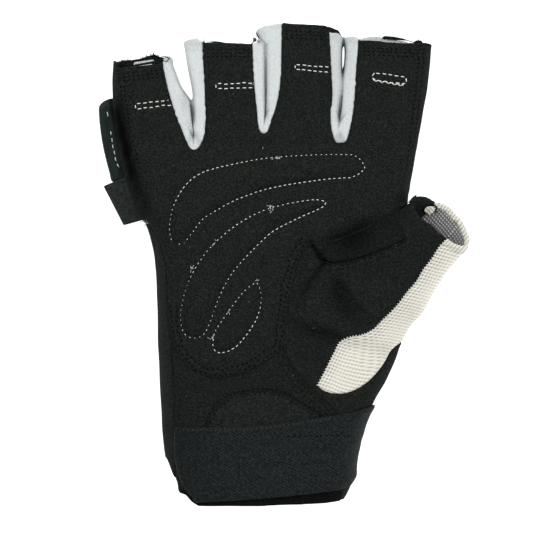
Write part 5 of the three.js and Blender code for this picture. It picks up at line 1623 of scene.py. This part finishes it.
def fray(rim_line, z, count, length, radius, seed):
    """Short loose fibres that stand out past a cut edge; the line runs along it in the photograph's pixels."""
    rng = np.random.RandomState(seed)
    rows = along_points(rim_line)
    out = []
    for _ in range(count):
        t = rng.uniform(0, rows["t"][-1])
        x, y = np.interp(t, rows["t"], rows["x"]), np.interp(t, rows["t"], rows["y"])
        high = z + rng.uniform(-0.7, 0.2)
        a = Vector(to_frame((*low_photo(x, y + 1.2, high), high)))
        size = length * rng.uniform(0.4, 1.3)
        b = a + Vector((rng.normal() * 0.5 * size, size + 0.4, rng.uniform(-0.4, 0.2) * size)) / 1000
        out.append((a, b, Vector((0, 0, 1)), radius * rng.uniform(0.7, 1.2), 0.0))
    return out


def ring_of(x, y, z, r, n=9):
    return [(x + r * math.cos(2 * math.pi * i / n), y + r * math.sin(2 * math.pi * i / n), z) for i in range(n + 1)]


dark_fray, pale_fray = [], []
for line, z, count, length, seed in (
    (((115, 70.6), (135, 68.2), (162, 65.2)), 16.9, 30, 0.45, 501),
    (((115, 62.0), (122, 60.8), (131, 60.2), (139, 60.0)), 5.0, 30, 0.6, 511),
    (((139, 60.0), (145, 57.4), (152, 55.2), (158.8, 57.2)), 5.0, 34, 0.8, 512),
    (((205, 44.5), (251, 44.9)), 15.6, 34, 0.45, 502),
    (((284, 24.2), (307, 25.4), (324, 27), (338, 31)), 8.0, 34, 0.4, 503),
    (((361, 41.5), (382, 42.7), (431, 45.2)), 16.2, 44, 0.45, 504),
    (((383, 37), (395, 37.6), (406, 40)), 4.6, 14, 0.45, 513),
):
    dark_fray += fray(line, z, count, length, 0.07, seed)
for line, z, count, length, seed in (
    (((184, 42), (195, 40.4), (203, 42.5)), 14.0, 12, 0.4, 505), (((164, 60), (171, 57.6)), 14.0, 8, 0.5, 506),
    (((258, 29.5), (270, 25), (281, 22.6)), 14.0, 12, 0.4, 507), (((331, 33), (342, 38)), 14.0, 8, 0.4, 508), (((347, 38), (357, 38)), 14.0, 8, 0.4, 509),
):
    pale_fray += fray(line, z, count, length, 0.055, seed)
for n, (x0, y0, x1, y1) in enumerate(((147, 223, 151, 234), (151, 234, 154, 243), (154, 243, 158, 256))):  # along the little finger's side
    a, b = low_photo(x0, y0, 9.0), low_photo(x1, y1, 9.0)
    rng = np.random.RandomState(520 + n)
    for k in rng.uniform(0, 1, 9):
        at, size = [a[i] + (b[i] - a[i]) * k for i in (0, 1)], rng.uniform(0.3, 0.9)
        start = Vector(to_frame((at[0] + 0.4, at[1], 9.0 + rng.uniform(-1, 1))))
        dark_fray.append((start, start + Vector((-size - 0.4, rng.normal() * 0.3, 0.1)) / 1000, Vector((0, 0, 1)), 0.07, 0.0))
dark_fray += thread_line([(152.0, 57.5, 5.6), (153.3, 54.6, 5.6), (153.8, 52.9, 5.4)], 0.17)
dark_fray += thread_line([(204.9, 48.0, 17.0), (204.4, 43.5, 17.0), (204.2, 40.6, 16.2), (203.8, 38.2, 15.0)], 0.13)
dark_fray += thread_line(ring_of(254.8, 39.9, 9.4, 1.2), 0.34)
dark_fray += thread_line([(254.2, 38.8, 9.5), (253.2, 36.6, 9.6)], 0.12) + thread_line([(255.6, 38.6, 9.5), (256.6, 36.2, 9.6)], 0.10)
dark_fray += thread_line([(251.0, 45.0, 15.8), (252.2, 43.2, 13.0), (254.0, 41.4, 9.8)], 0.20)
dark_fray += thread_line([(417.6, 41.6, 4.8), (418.6, 39.2, 4.8)], 0.12)


def height_at(x, y, on, lift, default):
    """Height in millimetres of the named pieces under a pixel, as the camera sees it."""
    z = default
    for _ in range(3):
        hit = drop(*low_photo(x, y, z), on)
        z = hit[0].z * 1000 + lift if hit is not None else z
    return z


MOUTH = ["thumb_knit_back", "back_panel", "thumb_palm"]
dark_fray += thread_line([(x, y, height_at(x, y, MOUTH, 0.8, 20.0)) for x, y in ((431.6, 204.6), (434.8, 205.4), (436.8, 207.4), (436.2, 210.0), (435.4, 212.6))], 0.27)
for line, thick in ((((158.8, 59.0), (161.4, 56.8), (166.8, 56.8), (169.6, 58.6)), 0.16), (((169.6, 58.6), (166.6, 61.4), (162.5, 60.6), (160.4, 62.8)), 0.13)):
    dark_fray += thread_line([(x, y, height_at(x, y, ["gusset_little_ring", "palm_upper"], 0.3, 17.0)) for x, y in line], thick)
stitches("dark_fibres", dark_fray, MAT["dark_thread"])
stitches("pale_fibres", pale_fray, MAT["pale_thread"])

# A small turned-in end of the knit in the corner of the thumb's mouth.
STUB = table("x high low", (424.4, 209.8, 211.8), (425.8, 207.6, 213.6), (428.4, 206.6, 214.8), (431.4, 206.2, 214.2), (433.4, 206.6, 212.4), (434.6, 208.2, 210.4))
points, faces = [], []
px, n = np.linspace(STUB["x"][0], STUB["x"][-1], 22), 12
for side in (1, -1):
    for x in px:
        high, low = np.interp(x, STUB["x"], STUB["high"]), np.interp(x, STUB["x"], STUB["low"])
        for k in range(n):
            y = low + (high - low) * k / (n - 1)
            z = height_at(x, y, MOUTH, 0.6, 19.0)
            points.append((*low_photo(x, y, z), z + side * 0.45 * math.sqrt(max(0.02, 1 - (2 * k / (n - 1) - 1) ** 4))))
m = len(px) * n
for i in range(len(px) - 1):
    for k in range(n - 1):
        a = i * n + k
        faces.append((a, a + n, a + n + 1, a + 1))
        faces.append((m + a, m + a + 1, m + a + n + 1, m + a + n))
border = [i * n for i in range(len(px))] + [(len(px) - 1) * n + k for k in range(1, n)] + [i * n + n - 1 for i in reversed(range(len(px) - 1))] + [k for k in reversed(range(1, n - 1))]
for p, q in zip(border, border[1:] + border[:1]):
    faces.append((p, m + p, m + q, q))
points = np.array(points)
none = np.zeros(len(points))
made["knit_turned_end"] = new_piece(
    "knit_turned_end", points, faces, MAT["knit"], np.column_stack([(points[:, 0] - points[:, 1]) / 1.5, (points[:, 0] + points[:, 1]) / 1.5]),
    {"inside": none, "seam": none + 0.3, "hem": none, "shade": none + 0.1},
)

# ---------------------------------------------------------------- floor, light and camera
def floor_piece():
    me = bpy.data.meshes.new("floor")
    e = 1.6
    me.from_pydata([(-e, -e, 0), (e, -e, 0), (e, e, 0), (-e, e, 0)], [], [(0, 1, 2, 3)])
    ob = bpy.data.objects.new("floor", me)
    bpy.context.scene.collection.objects.link(ob)
    m = Nodes("studio_floor", (0.45, 0.45, 0.45), 0.9, specular=0.05)
    n = m.noise(m.where(), 3, 1)
    m.color(m.ramp(n, [(0.2, (0.44, 0.44, 0.44)), (0.8, (0.46, 0.46, 0.46))]))
    m.shader.inputs["Emission Color"].default_value = (1, 1, 1, 1)
    m.shader.inputs["Emission Strength"].default_value = 0.97
    me.materials.append(m.material)
    return ob


floor_piece()


def area_light(name, place, aim, size, power, color=(1, 1, 1)):
    data = bpy.data.lights.new(name, "AREA")
    data.shape = "RECTANGLE"
    data.size, data.size_y = size
    data.energy = power
    data.color = color
    ob = bpy.data.objects.new(name, data)
    ob.location = place
    ob.rotation_euler = (Vector(aim) - Vector(place)).to_track_quat("-Z", "Y").to_euler()
    bpy.context.scene.collection.objects.link(ob)
    return ob


area_light("key", (-0.62, 0.62, 0.80), (0, 0, 0), (0.7, 0.7), 11.5)
area_light("fill", (0.80, -0.10, 0.70), (0, 0, 0.01), (0.8, 0.8), 8.2)
world = bpy.data.worlds.new("studio")
world.use_nodes = True
world.node_tree.nodes["Background"].inputs[0].default_value = (1, 1, 1, 1)
world.node_tree.nodes["Background"].inputs[1].default_value = 0.42
bpy.context.scene.world = world
bpy.context.scene.view_settings.view_transform = "Standard"

camera_data = bpy.data.cameras.new("camera")
camera = bpy.data.objects.new("camera", camera_data)
bpy.context.scene.collection.objects.link(camera)
centre = to_frame((*photo(266.5, 266.5), 0))
camera.location = (centre[0], centre[1], 0.018 + DISTANCE)
camera.rotation_euler = (0, 0, 0)
camera_data.sensor_width = 36.0
camera_data.sensor_height = 36.0
camera_data.lens = 36.0 * DISTANCE / (533 * PX / 1000)
camera_data.clip_start, camera_data.clip_end = 0.05, 10
bpy.context.scene.camera = camera
